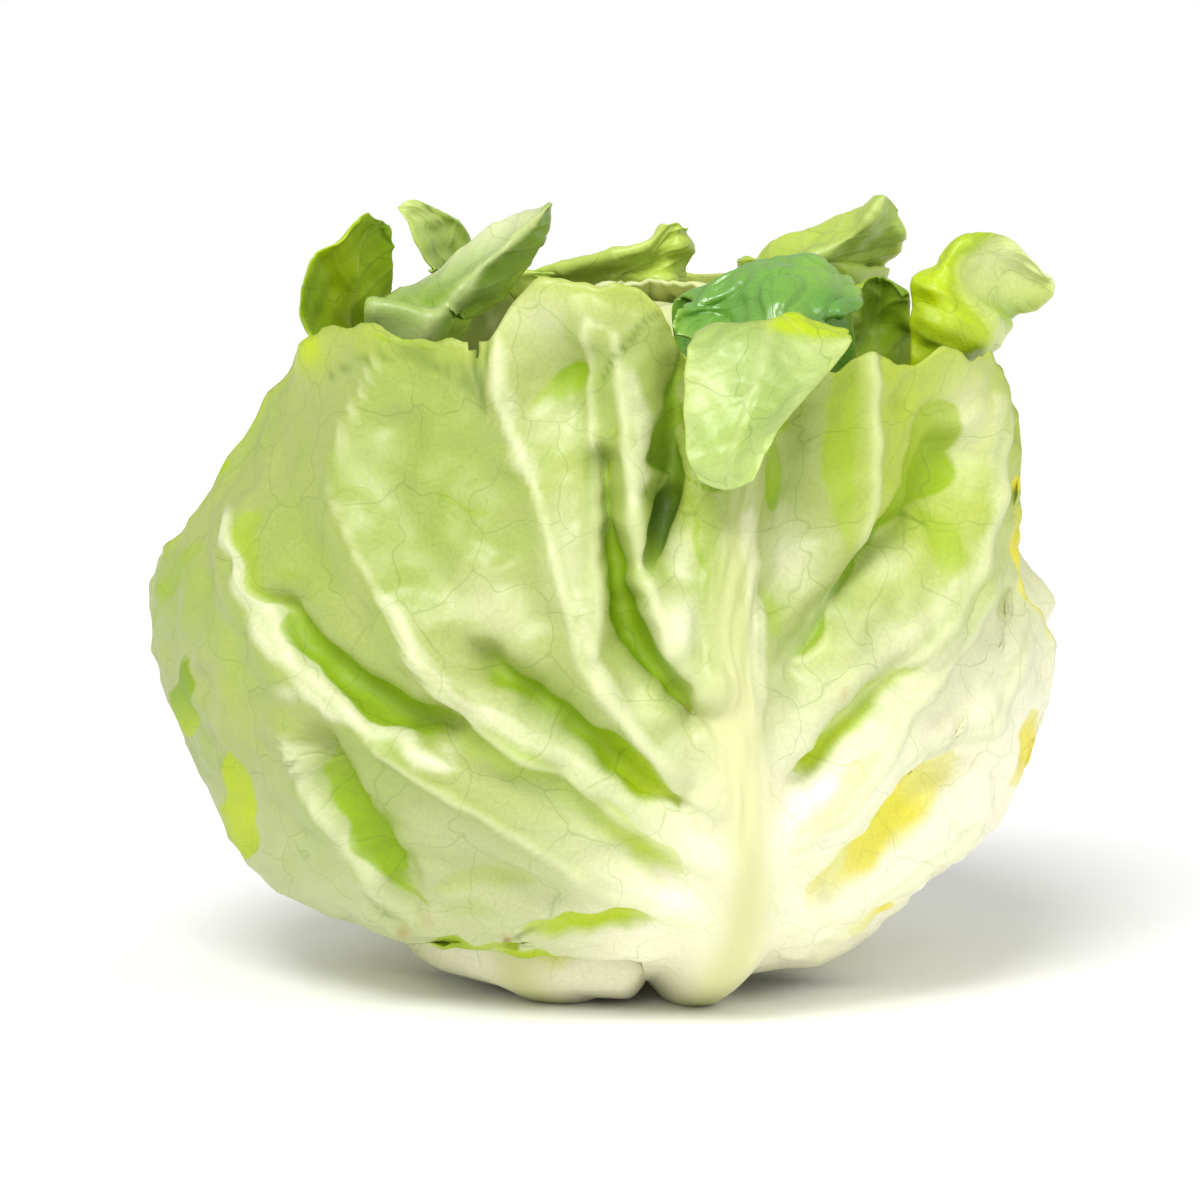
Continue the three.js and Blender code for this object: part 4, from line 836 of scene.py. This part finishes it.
# A leaf's colours: its lamina, the deeper green of its uneven tone and its painted shade, and its lime.
def leaf_material(name, lamina, deep, lime, roughness=0.42, net=0.55, gloss=0.5):
    material = bpy.data.materials.new(name)
    material.use_nodes = True
    tree = material.node_tree
    tree.nodes.clear()

    def mask(key, output=2):
        return node(tree, "Attribute", attribute_name=key).outputs[output]

    def mixed(share, a, b, blend="MIX"):
        inputs = {0: share, 6: a, 7: b}
        return node(tree, "Mix", inputs, data_type="RGBA", blend_type=blend).outputs[2]

    def maths(kind, a, b, clamp=False):
        return node(tree, "Math", {0: a, 1: b}, operation=kind, use_clamp=clamp).outputs[0]

    def ranged(value, low, high, to_low=0.0, to_high=1.0):
        inputs = {0: value, 1: low, 2: high, 3: to_low, 4: to_high}
        return node(tree, "MapRange", inputs, interpolation_type="SMOOTHSTEP").outputs[0]

    flat = mask("flat", 1)

    def noise(scale, detail, output=0):
        inputs = {"Vector": flat, "Scale": scale, "Detail": detail, "Roughness": 0.5}
        return node(tree, "TexNoise", inputs, noise_dimensions="2D").outputs[output]

    def cell_edges(places, size, uneven, width):
        inputs = {"Vector": places, "Scale": 1 / size, "Randomness": uneven}
        cells = node(tree, "TexVoronoi", inputs, feature="DISTANCE_TO_EDGE", voronoi_dimensions="2D")
        return ranged(cells.outputs[0], 0.0, width, 1.0, 0.0)

    # Small veins: two nets, bent by noise so that no cell is straight sided.
    bend = noise(BEND_SCALE, 1.0, "Color")
    bend = node(tree, "VectorMath", {0: bend, 1: (0.5,) * 3}, operation="SUBTRACT").outputs[0]
    bent = node(tree, "VectorMath", {0: bend, 1: BEND_MM, 2: flat}, operation="MULTIPLY_ADD").outputs[0]
    coarse = cell_edges(bent, *COARSE_NET)
    fine = cell_edges(bent, *FINE_NET)
    grain = noise(GRAIN_SCALE, 2.0)

    broad = ranged(noise(BROAD_SCALE, 2.0), 0.35, 0.65)
    body = mixed(broad, colour(lamina), mixed(BROAD_SHARE, colour(lamina), colour(deep)))
    # Lime is partly painted glow of light through the leaf; pale is partly painted light and highlights.
    body = mixed(mask("lime"), body, colour(lime))
    body = mixed(mask("pale"), body, colour(PALE))
    # Painted shade: creases and shaded places take the deep green.
    body = mixed(mask("crease"), body, colour(deep))
    # A pool's hue goes with its tone from dark painted shadow over green painted shade and lime to yellow.
    tone = mask("tone")
    hue = mixed(maths("MULTIPLY", tone, 1.0, True), colour(deep), colour(lime))
    hue = mixed(maths("SUBTRACT", tone, 1.0, True), hue, colour(POOL_YELLOW))
    hue = mixed(maths("MULTIPLY", tone, -1.0, True), hue, colour(POOL_SHADOW))
    hollow = maths("MULTIPLY", ranged(mask("pool"), -0.5, 0.5), mask("fill"))
    body = mixed(hollow, body, hue)
    rib = mask("rib")
    lines = maths("MAXIMUM", maths("MULTIPLY", coarse, COARSE_SHARE), maths("MULTIPLY", fine, FINE_SHARE))
    lines = maths("MULTIPLY", maths("MULTIPLY", lines, maths("SUBTRACT", 1.0, rib, True)), net)
    body = mixed(lines, body, mixed(1.0, body, colour(NET), "MULTIPLY"))
    speckle = ranged(grain, 0.3, 0.75, *SPECKLE)
    speckle = node(tree, "CombineColor", {k: speckle for k in range(3)}).outputs[0]
    body = mixed(1.0, body, speckle, "MULTIPLY")
    body = mixed(maths("MULTIPLY", mask("vein"), VEIN_SHARE), body, colour(VEIN))
    for share, code in ((rib, RIB), (mask("bruise"), BRUISE), (mask("rust"), RUST)):
        body = mixed(share, body, colour(code))

    rise = maths("ADD", maths("MULTIPLY", lines, NET_RISE), maths("MULTIPLY", grain, GRAIN_RISE))
    bump = node(tree, "Bump", {"Strength": BUMP_STRENGTH, "Distance": BUMP_MM * MM, "Height": rise})
    shine = ranged(grain, 0.3, 0.7, roughness - 0.05, roughness + 0.08)
    shine = maths("ADD", shine, maths("MULTIPLY", hollow, HOLLOW_ROUGHER))
    shader = node(tree, "BsdfPrincipled", {
        "Base Color": body, "Roughness": shine, "Normal": bump.outputs[0], "Specular IOR Level": gloss,
        "Coat Weight": COAT, "Coat Roughness": COAT_ROUGHNESS,
    })
    node(tree, "OutputMaterial", {"Surface": shader.outputs[0]})
    return material


MATERIALS = {
    "wrapper_leaf": leaf_material("wrapper_leaf", "a4b05f", "8aaa00", "b8cc08", net=0.45),
    "pale_leaf": leaf_material("pale_leaf", "dcde98", "a9ba10", "dbdf1e", net=0.4),
    "inner_leaf": leaf_material("inner_leaf", "9fba48", "629000", "b4cc00", roughness=0.4),
    "dark_leaf": leaf_material("dark_leaf", "6fa63c", "3f7f14", "9cc43c", roughness=0.26, gloss=0.9),
    "heart": leaf_material("heart", "d8de9e", "a8b83c", "c6d048", net=0.4),
    "stem": leaf_material("stem", "e2e0b4", "cfcf90", "dad9a4", roughness=0.5, net=0.15),
}


def masks_for(shape, flat_x, flat_y, seed, **given):
    """All masks of a mesh: those given, zero for the others, and the place on the flattened leaf."""
    masks = {key: np.zeros(shape) for key in MASKS}
    masks["pool"] = np.full(shape, -POOL_LIMIT)
    masks.update(given)
    masks["flat"] = np.stack([flat_x + seed * FLAT_APART, flat_y, np.zeros(shape)], -1)
    return masks


def taper(u, v):
    """Share of its thickness that a leaf keeps towards its margin."""
    rest = smoothstep(1 - np.abs(v), 0, MARGIN_THINS) * smoothstep(1 - u, 0, RIM_THINS)
    return MARGIN_SHARE + (1 - MARGIN_SHARE) * rest


def wrapper_grid(leaf):
    """The places of a leaf's grid: shares, turn and run, and where the front view has them."""
    count_u, count_v = leaf["size"]
    even = np.linspace(-1, 1, count_v)
    v_line = np.sign(even) * np.abs(even) ** leaf["crowd"]
    u, v = np.meshgrid(np.linspace(0, 1, count_u), v_line, indexing="ij")
    turn, run = row_place(leaf, u, v)
    if leaf["name"] == "leaf_front":
        edge = np.maximum(np.abs(v) ** 14, smoothstep(u, 0.93, 1))
        for high, scale, seed in EDGE_RIPPLES:
            run = run + edge * high * ripples(turn * 1.2, 0 * turn, scale, seed)
    radians = np.radians(turn)
    radius, _ = outline_at(run)
    across, up = front_view(radians, run)
    return SimpleNamespace(
        u=u, v=v, turn=turn, run=run, radians=radians, radius=radius, across=across, up=up,
        away=np.radians(turn - leaf["turn"]) * radius, facing=smoothstep(np.cos(radians), *FACING),
        x=VIEW_MIDDLE + across / VIEW_STEP, y=VIEW_FOOT - up / VIEW_STEP)


def wrapper_depth(leaf, g):
    """How deep a leaf lies, with its waved margin."""
    ripple = 0.5 + 0.5 * np.sin(leaf["waves"] * g.u + 3 * g.v + leaf["turn"])
    left, right, rim = leaf["ruffles"]
    side = np.where(g.v < 0, left, right) * np.abs(g.v) ** 5
    margin = np.maximum(side, rim * smoothstep(g.u, *RIM_WAVES))
    share = lerp(BASE_DEPTH, 1, smoothstep(g.run, *DEEPENS))
    if "sag" in leaf:
        hanging = smoothstep(g.run, *SAG_FROM) * (1 - smoothstep(g.run, *SAG_TO))
        share = lerp(share, leaf["sag"], hanging * smoothstep(-g.turn, *SAG_LEFT))
    return leaf["depth"] * share + margin * ripple * smoothstep(g.u, *WAVES_FROM)


def front_looks(g, near):
    """Masks and relief of the folds, hollows and bright ridges that the front view shows: painted shade in
    the valleys, painted shade and colour in the pools, and painted highlights on the ridges.
    """
    zero = np.zeros(g.x.shape)
    vein, crease, beside, gleam, extra, sunk = zero, zero, zero, zero, zero, zero
    for points, _, _ in RIDGES:
        d, _ = to_line(points, g.across, g.up)
        vein = np.maximum(vein, bell(d, 0.42 + 2.6 * near ** 1.5) * lerp(0.6, 0.85, near))
        beside = np.maximum(beside, bell(d - 1.1, 0.45) * (1 - near))
        extra = extra + 0.5 * bell(d, 0.65 + 0.8 * near) - 0.12 * bell(d - 1.3, 0.5)
    # Painted shade in the valleys of the folds.
    for points, width, height in VALLEYS:
        d, share = to_line(points, g.across, g.up)
        full = np.sin(math.pi * (share * 0.94 + 0.03)) ** 0.6
        crease = np.maximum(crease, CREASE_SHADE_SHARE * bell(d, width) * min(1, -height / 5) * full)
    x, y = (at + POOL_RIPPLE * ripples(g.across, g.up, 7, seed) for at, seed in ((g.x, 91), (g.y, 92)))
    pools = dict(pool=zero - POOL_LIMIT, tone=zero, fill=zero)
    for soft_left, soft_right, deep, points in FRONT_POOLS:
        inwards, told = pool(points, x, y, soft_left, soft_right)
        field = np.clip(inwards / told[..., 3], -POOL_LIMIT, POOL_LIMIT)
        first = field > pools["pool"]
        for key, value in (("pool", field), ("tone", told[..., 1]), ("fill", told[..., 2])):
            pools[key] = np.where(first, value, pools[key])
        sunk = np.maximum(sunk, SUNK_SHARE * deep * told[..., 2] * smoothstep(inwards, *SUNK_BANK))
    extra = extra - sunk
    # Painted highlights along the ridges that catch the light, which also rise a little.
    for points, strength in FRONT_GLEAMS:
        bright = strength * smoothstep(pool(points, x, y)[0], *GLEAM_BANK)
        gleam = np.maximum(gleam, GLEAM_SHARE * bright)
        extra = extra + GLEAM_RISE * bright
    for points, _, strength in FRONT_CRACKS:
        extra = extra - CRACK_DEPTH * strength * bell(to_line(points, x, y)[0] * VIEW_STEP, CRACK_WIDTH)
    crease = np.maximum(crease, CREASE_SHADE_SHARE * beside)
    pools["fill"] = pools["fill"] * smoothstep(np.cos(g.radians), *POOL_FACING)
    looks = dict(vein=vein * g.facing, crease=crease * g.facing, pale=gleam * g.facing, **pools)
    return looks, extra * g.facing


def side_looks(leaf, g, near, seed):
    """Masks and relief of the side veins of a leaf away from the front,
    with painted shade in the hollows between them.
    """
    zero = np.zeros(g.x.shape)
    vein, crease, extra = zero, zero, zero
    mm = np.radians(g.radius)
    for points, _, high in leaf["lines"]:
        d, _ = to_line(on_leaf(leaf, points), (g.turn - leaf["turn"]) * mm, g.run, mm)
        if high > 0:
            vein = np.maximum(vein, 0.85 * bell(d, 0.55 + 1.8 * near))
            extra = extra + 0.4 * bell(d, 0.9)
        else:
            shade = 0.3 + 0.15 * ripples(g.away, g.run, 30, seed + 20)
            crease = np.maximum(crease, shade * bell(d, 3.4))
    return dict(vein=vein, crease=crease, pale=zero), extra


def front_marks(g, masks):
    """Patches of painted shade, painted light and colour, cracks and spots of the front leaf into its
    masks, and the cells that stay.
    """
    in_front = np.cos(g.radians) > 0.05
    for key, spots in FRONT_PATCHES.items():
        for spot, strength in spots:
            masks[key] = np.maximum(masks[key], in_front * strength * patch(g.x, g.y, *spot))
    for points, wide, strength in FRONT_CRACKS:
        line = bell(to_line(points, g.x, g.y)[0] * VIEW_STEP, 0.5 * wide)
        masks["bruise"] = np.maximum(masks["bruise"], in_front * strength * line)
    cells = (0.25 * (at[:-1, :-1] + at[1:, :-1] + at[:-1, 1:] + at[1:, 1:]) for at in (g.x, g.y))
    return ~(inside(*cells, FRONT_CUT) & in_front[:-1, :-1])


def wrapper_leaf(leaf, number):
    g = wrapper_grid(leaf)
    keel, t = keel_at(leaf, g.run, g.away)
    near = np.exp(-np.abs(g.away) / NEAR_RIB)
    seen = leaf["name"] in ("leaf_front", "leaf_underneath")
    looks, extra = front_looks(g, near) if seen else side_looks(leaf, g, near, number)
    pucker = sum(high * ripples(g.away, g.run, scale, number + seed) for high, scale, seed in PUCKERS)
    blade = smoothstep(t, 0.6, 1)
    extra = extra + pucker * blade * smoothstep(g.run, 30, 60)
    streaks = ripples(2.2 * g.away, 0.35 * g.run, 5, number + 77)
    extra = extra + RIB_STREAKS * (1 - blade) * streaks * smoothstep(g.run, 40, 60)
    middle = place(g.radians, g.run, wrapper_depth(leaf, g))
    out = normals_of(middle)
    middle = middle + out * extra[..., None]
    thin = WRAPPER_HALF * taper(g.u, g.v)
    outer = middle + out * (thin + keel)[..., None]
    inner = middle - out * (thin + KEEL_INSIDE * keel)[..., None]
    for face, floor in ((outer, 0), (inner, INNER_FLOOR)):
        face[..., 2] = np.maximum(face[..., 2], floor)

    rib = smoothstep(1 - t, 0, 0.95) * (1 - smoothstep(g.run, *RIB_FADES) * RIB_FADES_BY)
    base = bell((np.abs(g.away) - 8).clip(0), 20) * (1 - smoothstep(g.run, 60, 130))
    # Pale lower right corner, partly painted light from the right; the base is the leaf's own pale colour.
    pale = smoothstep(0.6 * g.across - 0.8 * g.up, *PALE_CORNER) * smoothstep(g.across, *PALE_RIGHT)
    pale += BASE_PALE * base + FOOT_PALE * smoothstep(-g.up, *PALE_FOOT)
    # A lime rim, the leaf's colour and partly painted glow of light through it.
    lime = RIM_LIME * (smoothstep(np.abs(g.v), 0.93, 1) + smoothstep(g.u, 0.95, 1))
    masks = dict(rib=rib, crease=looks["crease"], pale=np.maximum(pale, looks["pale"]), lime=lime,
                 rust=np.zeros(rib.shape), bruise=np.zeros(rib.shape))
    keep = None
    if leaf["name"] == "leaf_front":
        # A lime upper right corner, the leaf's colour and partly painted glow of light through it.
        corner = CORNER_LIME * smoothstep(g.across, *LIME_RIGHT) * smoothstep(g.up, *LIME_UP)
        masks["lime"] = np.maximum(lime, corner)
        keep = front_marks(g, masks)
    looks.update({key: np.clip(value, 0, 1) for key, value in masks.items()})
    looks["vein"] = looks["vein"] * (1 - rib)
    masks = masks_for(rib.shape, g.away, g.run, number, **looks)
    piece = mesh_object("look_" + leaf["name"], *sheet(outer, inner, masks, keep))
    dress(piece, leaf["name"], leaf["slot"])


def from_front(points):
    """Places of points given as across and down in the front view and mm away."""
    across, down, away = np.moveaxis(np.asarray(points, float), -1, 0)
    across, up = (across - VIEW_MIDDLE) * VIEW_STEP, (VIEW_FOOT - down) * VIEW_STEP
    height = (up - (away + FRONT_FOOT) * math.sin(VIEW_RISE)) / math.cos(VIEW_RISE)
    return np.stack([across, away, height], -1)


def tip_leaf(leaf, number):
    v = np.linspace(-1, 1, TIP_COUNTS[1])
    start = start_run(leaf["depth"])
    rows = []
    for k in range(HUG_ROWS):
        run = lerp(start, leaf["join"], k / (HUG_ROWS - 1))
        wide = leaf["half"] * lerp(0.45, 1, float(smoothstep(k, 0, 3)))
        side = 1 - 0.5 * float(smoothstep(k, HUG_ROWS - 3, HUG_ROWS + 1))
        rows.append(place(np.radians(leaf["turn"] + wide * side * v), run, leaf["depth"]))
    rows += [along(from_front(points), (v + 1) / 2) for points in leaf["top"]]
    share = np.linspace(0, 1, TIP_COUNTS[0]) ** TIP_CROWD
    middle = along(np.stack(rows), share)
    u, v = np.meshgrid(share, v, indexing="ij")
    out = normals_of(middle)
    free = smoothstep(u, *TIP_FREE)
    # The flattened leaf: mm from its midrib and along it.
    centre = TIP_COUNTS[1] // 2
    step_v = np.linalg.norm(np.diff(middle, axis=1), axis=-1)
    x = np.concatenate([np.zeros((len(share), 1)), np.cumsum(step_v, 1)], 1)
    x -= x[:, centre][:, None]
    step_u = np.linalg.norm(np.diff(middle[:, centre], axis=0), axis=-1)
    y = np.concatenate([[0], np.cumsum(step_u)])[:, None] + np.zeros(u.shape)

    wave = 0.7 * free * v * v * np.sin(26 * u + 2.4 * v + leaf["turn"])
    wave += 0.35 * free * np.abs(v) ** 5 * np.sin(y * 0.7 + leaf["turn"])
    wave += 0.45 * ripples(x, y, 11, number) + 0.15 * ripples(x, y, 5, number + 9)
    rib = bell(x, 0.5 + 2.0 * smoothstep(y[-1, 0] - y, 0, 70))
    slant = (y - 0.85 * np.abs(x)) / TIP_VEINS_APART + 0.2 * ripples(x, y, 22, number + 3) + 0.5 * (x > 0)
    off = np.abs(slant - np.round(slant)) * TIP_VEINS_APART
    wave += 0.2 * bell(off, 0.7) + 0.35 * rib
    lumps = (1 - np.abs(ripples(x, y, 13, number + 7))).clip(-0.5) ** 2
    wave += leaf.get("puckers", 0) * free * lumps
    middle = middle + out * wave[..., None]
    half = ((0.35 + 0.5 * (1 - u) * (1 - v * v)) * taper(u, v))[..., None]

    patches = ripples(x, y, 30, number + 5)
    right = smoothstep(v, -0.15, 0.15)
    # Lime and pale are partly painted light, brightening leaves that lie in shade.
    lime = leaf["lime"] + 0.25 * patches + 0.4 * smoothstep(np.abs(v), 0.85, 1)
    pale = lerp(*leaf.get("paler", (0, 0)), right) * (0.8 + 0.4 * patches)
    # Painted shade: the part near the foot, among the outer leaves, is darker.
    deep = leaf["deep"] - 0.15 * patches + 0.25 * (1 - smoothstep(u, 0.35, 0.55))
    deep += lerp(*leaf.get("greener", (0, 0)), right)
    if leaf["name"] == "tip_flap":
        rolled = smoothstep(v, *ROLLED_RIGHT) * (1 - smoothstep(u, *ROLLED_UP))
        lime, pale = np.maximum(lime, rolled), pale * (1 - rolled)
    masks = masks_for(
        u.shape, x, y, number, rib=leaf["ribbed"] * rib, vein=0.64 * leaf["ribbed"] * bell(off, 0.4),
        lime=np.clip(lime, 0, 1), pale=np.clip(pale, 0, 1), crease=np.clip(deep, 0, 1))
    piece = mesh_object("look_" + leaf["name"], *sheet(middle + out * half, middle - out * half, masks))
    dress(piece, leaf["name"], "dark_leaf" if leaf["name"] == "tip_shiny" else "inner_leaf")


def heart():
    """The core and the leaves wrapped over it, in one piece."""
    centre, tall = (HEART["top"] + HEART["bottom"]) / 2, (HEART["top"] - HEART["bottom"]) / 2

    def at(turn, rise, out):
        r = (HEART["radius"] + out) * np.sin(rise)
        z = centre - (tall + out) * np.cos(rise)
        return np.stack([HEART["x"] + r * np.sin(turn), HEART["y"] - r * np.cos(turn), z], -1)

    parts = []
    for k, (turn, end) in enumerate(HEART_LEAVES):
        u, v = np.meshgrid(np.linspace(0, 1, HEART_GRID), np.linspace(-1, 1, HEART_GRID), indexing="ij")
        x, y, seed = 60 * v, 90 * u, k + 70
        rise = np.radians(lerp(40, end, u))
        half = 52 * (1 - 0.25 * u) / np.maximum(0.45, np.sin(rise))
        lift = -0.6 * k - 0.4 + 2.4 * smoothstep(u, 0.75, 1) + 0.8 * v * v * np.sin(6 * u + k)
        lift = lift + 0.4 * ripples(x, y, 10, seed)
        middle = at(np.radians(turn + half * v), rise - 0.25 * v * v * u, lift)
        out = normals_of(middle)
        thick = HEART["thickness"] * taper(u, v)
        outer = middle + out * (thick / 2)[..., None]
        inner = middle - out * (HEART["root"] * (1 - u) + thick)[..., None]
        slant = (y - 34 * np.abs(v)) / 9
        vein = 0.5 * bell(np.abs(slant - np.round(slant)) * 9, 0.6)
        masks = masks_for(u.shape, x, y, seed, rib=0.6 * bell(v * 40, 3), vein=vein)
        parts.append(sheet(outer, inner, masks))
    bpy.ops.mesh.primitive_uv_sphere_add(segments=64, ring_count=40, radius=1)
    ball = bpy.context.object
    wide = HEART["radius"] - HEART["core_below"]
    size = np.array([wide, wide, tall - HEART["core_below"]])
    core = np.array([v.co for v in ball.data.vertices]) * size + (HEART["x"], HEART["y"], centre)
    blank = {key: np.zeros((len(core), value.shape[1])) for key, value in parts[0][2].items()}
    parts.append((core, [list(face.vertices) for face in ball.data.polygons], blank))
    bpy.data.objects.remove(ball)
    faces, start = [], 0
    for points, corners, _ in parts:
        faces += [[corner + start for corner in face] for face in corners]
        start += len(points)
    masks = {key: np.concatenate([part[2][key] for part in parts]) for key in blank}
    piece = mesh_object("look_heart", np.concatenate([part[0] for part in parts]), faces, masks)
    dress(piece, "heart", "heart")


def stem():
    """The stem, a little uneven, with a cut face that shows its ring of sap vessels."""
    turn = np.linspace(0, 2 * math.pi, STEM_SIDES, endpoint=False)
    r = np.array([p[0] for p in STEM_PROFILE])[:, None]
    z = np.array([p[1] for p in STEM_PROFILE], float)[:, None] + 0 * turn
    outside = smoothstep(r, 6, 10)
    waved = np.sin(3 * turn + 0.6) * smoothstep(-z, -40, -2)
    uneven = 1 + STEM_UNEVEN * outside * (waved - 1)
    lean_x, lean_y = lean(z)
    points = np.stack([lean_x + r * uneven * np.sin(turn), lean_y - r * uneven * np.cos(turn), z], -1)
    rows = len(STEM_PROFILE)
    index = np.arange(rows * STEM_SIDES).reshape(rows, STEM_SIDES)
    after = np.roll(index, -1, 1)
    faces = np.stack([index[:-1], after[:-1], after[1:], index[1:]], -1).reshape(-1, 4)
    vessels = 0.25 * bell(r - 7.5, 1.2) * (z < 0.2)
    masks = masks_for(z.shape, r * np.sin(turn), r * np.cos(turn) + z, 3, rust=vessels)
    masks = {key: value.reshape(rows * STEM_SIDES, -1) for key, value in masks.items()}
    piece = mesh_object("look_stem", points.reshape(-1, 3), faces.tolist(), masks)
    bpy.context.view_layer.objects.active = piece
    weld = piece.modifiers.new("weld", "WELD")
    weld.merge_threshold = WELD_MM * MM
    with bpy.context.temp_override(object=piece):
        bpy.ops.object.modifier_apply(modifier="weld")
    dress(piece, "stem", "stem")


leaves = [FRONT_LEAF]
for leaf in WRAPPERS:
    leaf = {"waves": 34, "foot": 0.5 - BASE_DEPTH * leaf["depth"], "bend": 1, "crowd": 1.3, **leaf}
    leaf["outline"] = outline_of(leaf)
    leaf["lines"] = folds_of(leaf)
    if "shown" in leaf:
        side_folds.append((leaf, leaf["lines"]))
    leaves.append(leaf)
for number, leaf in enumerate(leaves):
    wrapper_leaf(leaf, number)
for number, leaf in enumerate(TIPS, FIRST_TIP_SEED):
    tip_leaf(leaf, number)
heart()
stem()

# The floor, the light and the view of the photograph.
scene = bpy.context.scene
scene.view_settings.view_transform = "Standard"
bpy.ops.mesh.primitive_plane_add(size=FLOOR_SIZE, location=(0, 0, 0))
floor = bpy.context.object
floor.name = "floor"
floor_material = bpy.data.materials.new("floor")
floor_material.use_nodes = True
floor_shader = floor_material.node_tree.nodes["Principled BSDF"]
floor_shader.inputs["Base Color"].default_value = FLOOR_COLOUR
floor_shader.inputs["Roughness"].default_value = 0.9
floor_shader.inputs["Specular IOR Level"].default_value = 0.1
floor.data.materials.append(floor_material)

world = bpy.data.worlds.new("studio")
world.use_nodes = True
background = world.node_tree.nodes["Background"]
background.inputs["Color"].default_value = (1, 1, 1, 1)
background.inputs["Strength"].default_value = WORLD_STRENGTH
scene.world = world


def direction(azimuth, rise):
    """Towards a place at an angle round from the front and an angle up, in radians."""
    level = math.cos(rise)
    return Vector((math.sin(azimuth) * level, -math.cos(azimuth) * level, math.sin(rise)))


def aim(thing, way, distance):
    """Puts a light or camera at a distance from the middle of the head, looking at it."""
    thing.location = MIDDLE + way * distance
    thing.rotation_euler = (-way).to_track_quat("-Z", "Y").to_euler()
    scene.collection.objects.link(thing)


for name, kind, azimuth, rise, power, size in LIGHTS:
    lamp = bpy.data.lights.new(name, kind)
    lamp.energy = power
    if kind == "SUN":
        lamp.angle = math.radians(size)
    else:
        lamp.shape = "DISK"
        lamp.size = size
    way = direction(math.radians(azimuth), math.radians(rise))
    aim(bpy.data.objects.new(name, lamp), way, LIGHT_DISTANCE)

lens = bpy.data.cameras.new("camera")
lens.sensor_width = SENSOR
lens.lens = SENSOR * CAMERA_DISTANCE / VIEW_WIDTH
lens.clip_end = 20
camera = bpy.data.objects.new("camera", lens)
aim(camera, direction(0, VIEW_RISE), CAMERA_DISTANCE)
scene.camera = camera
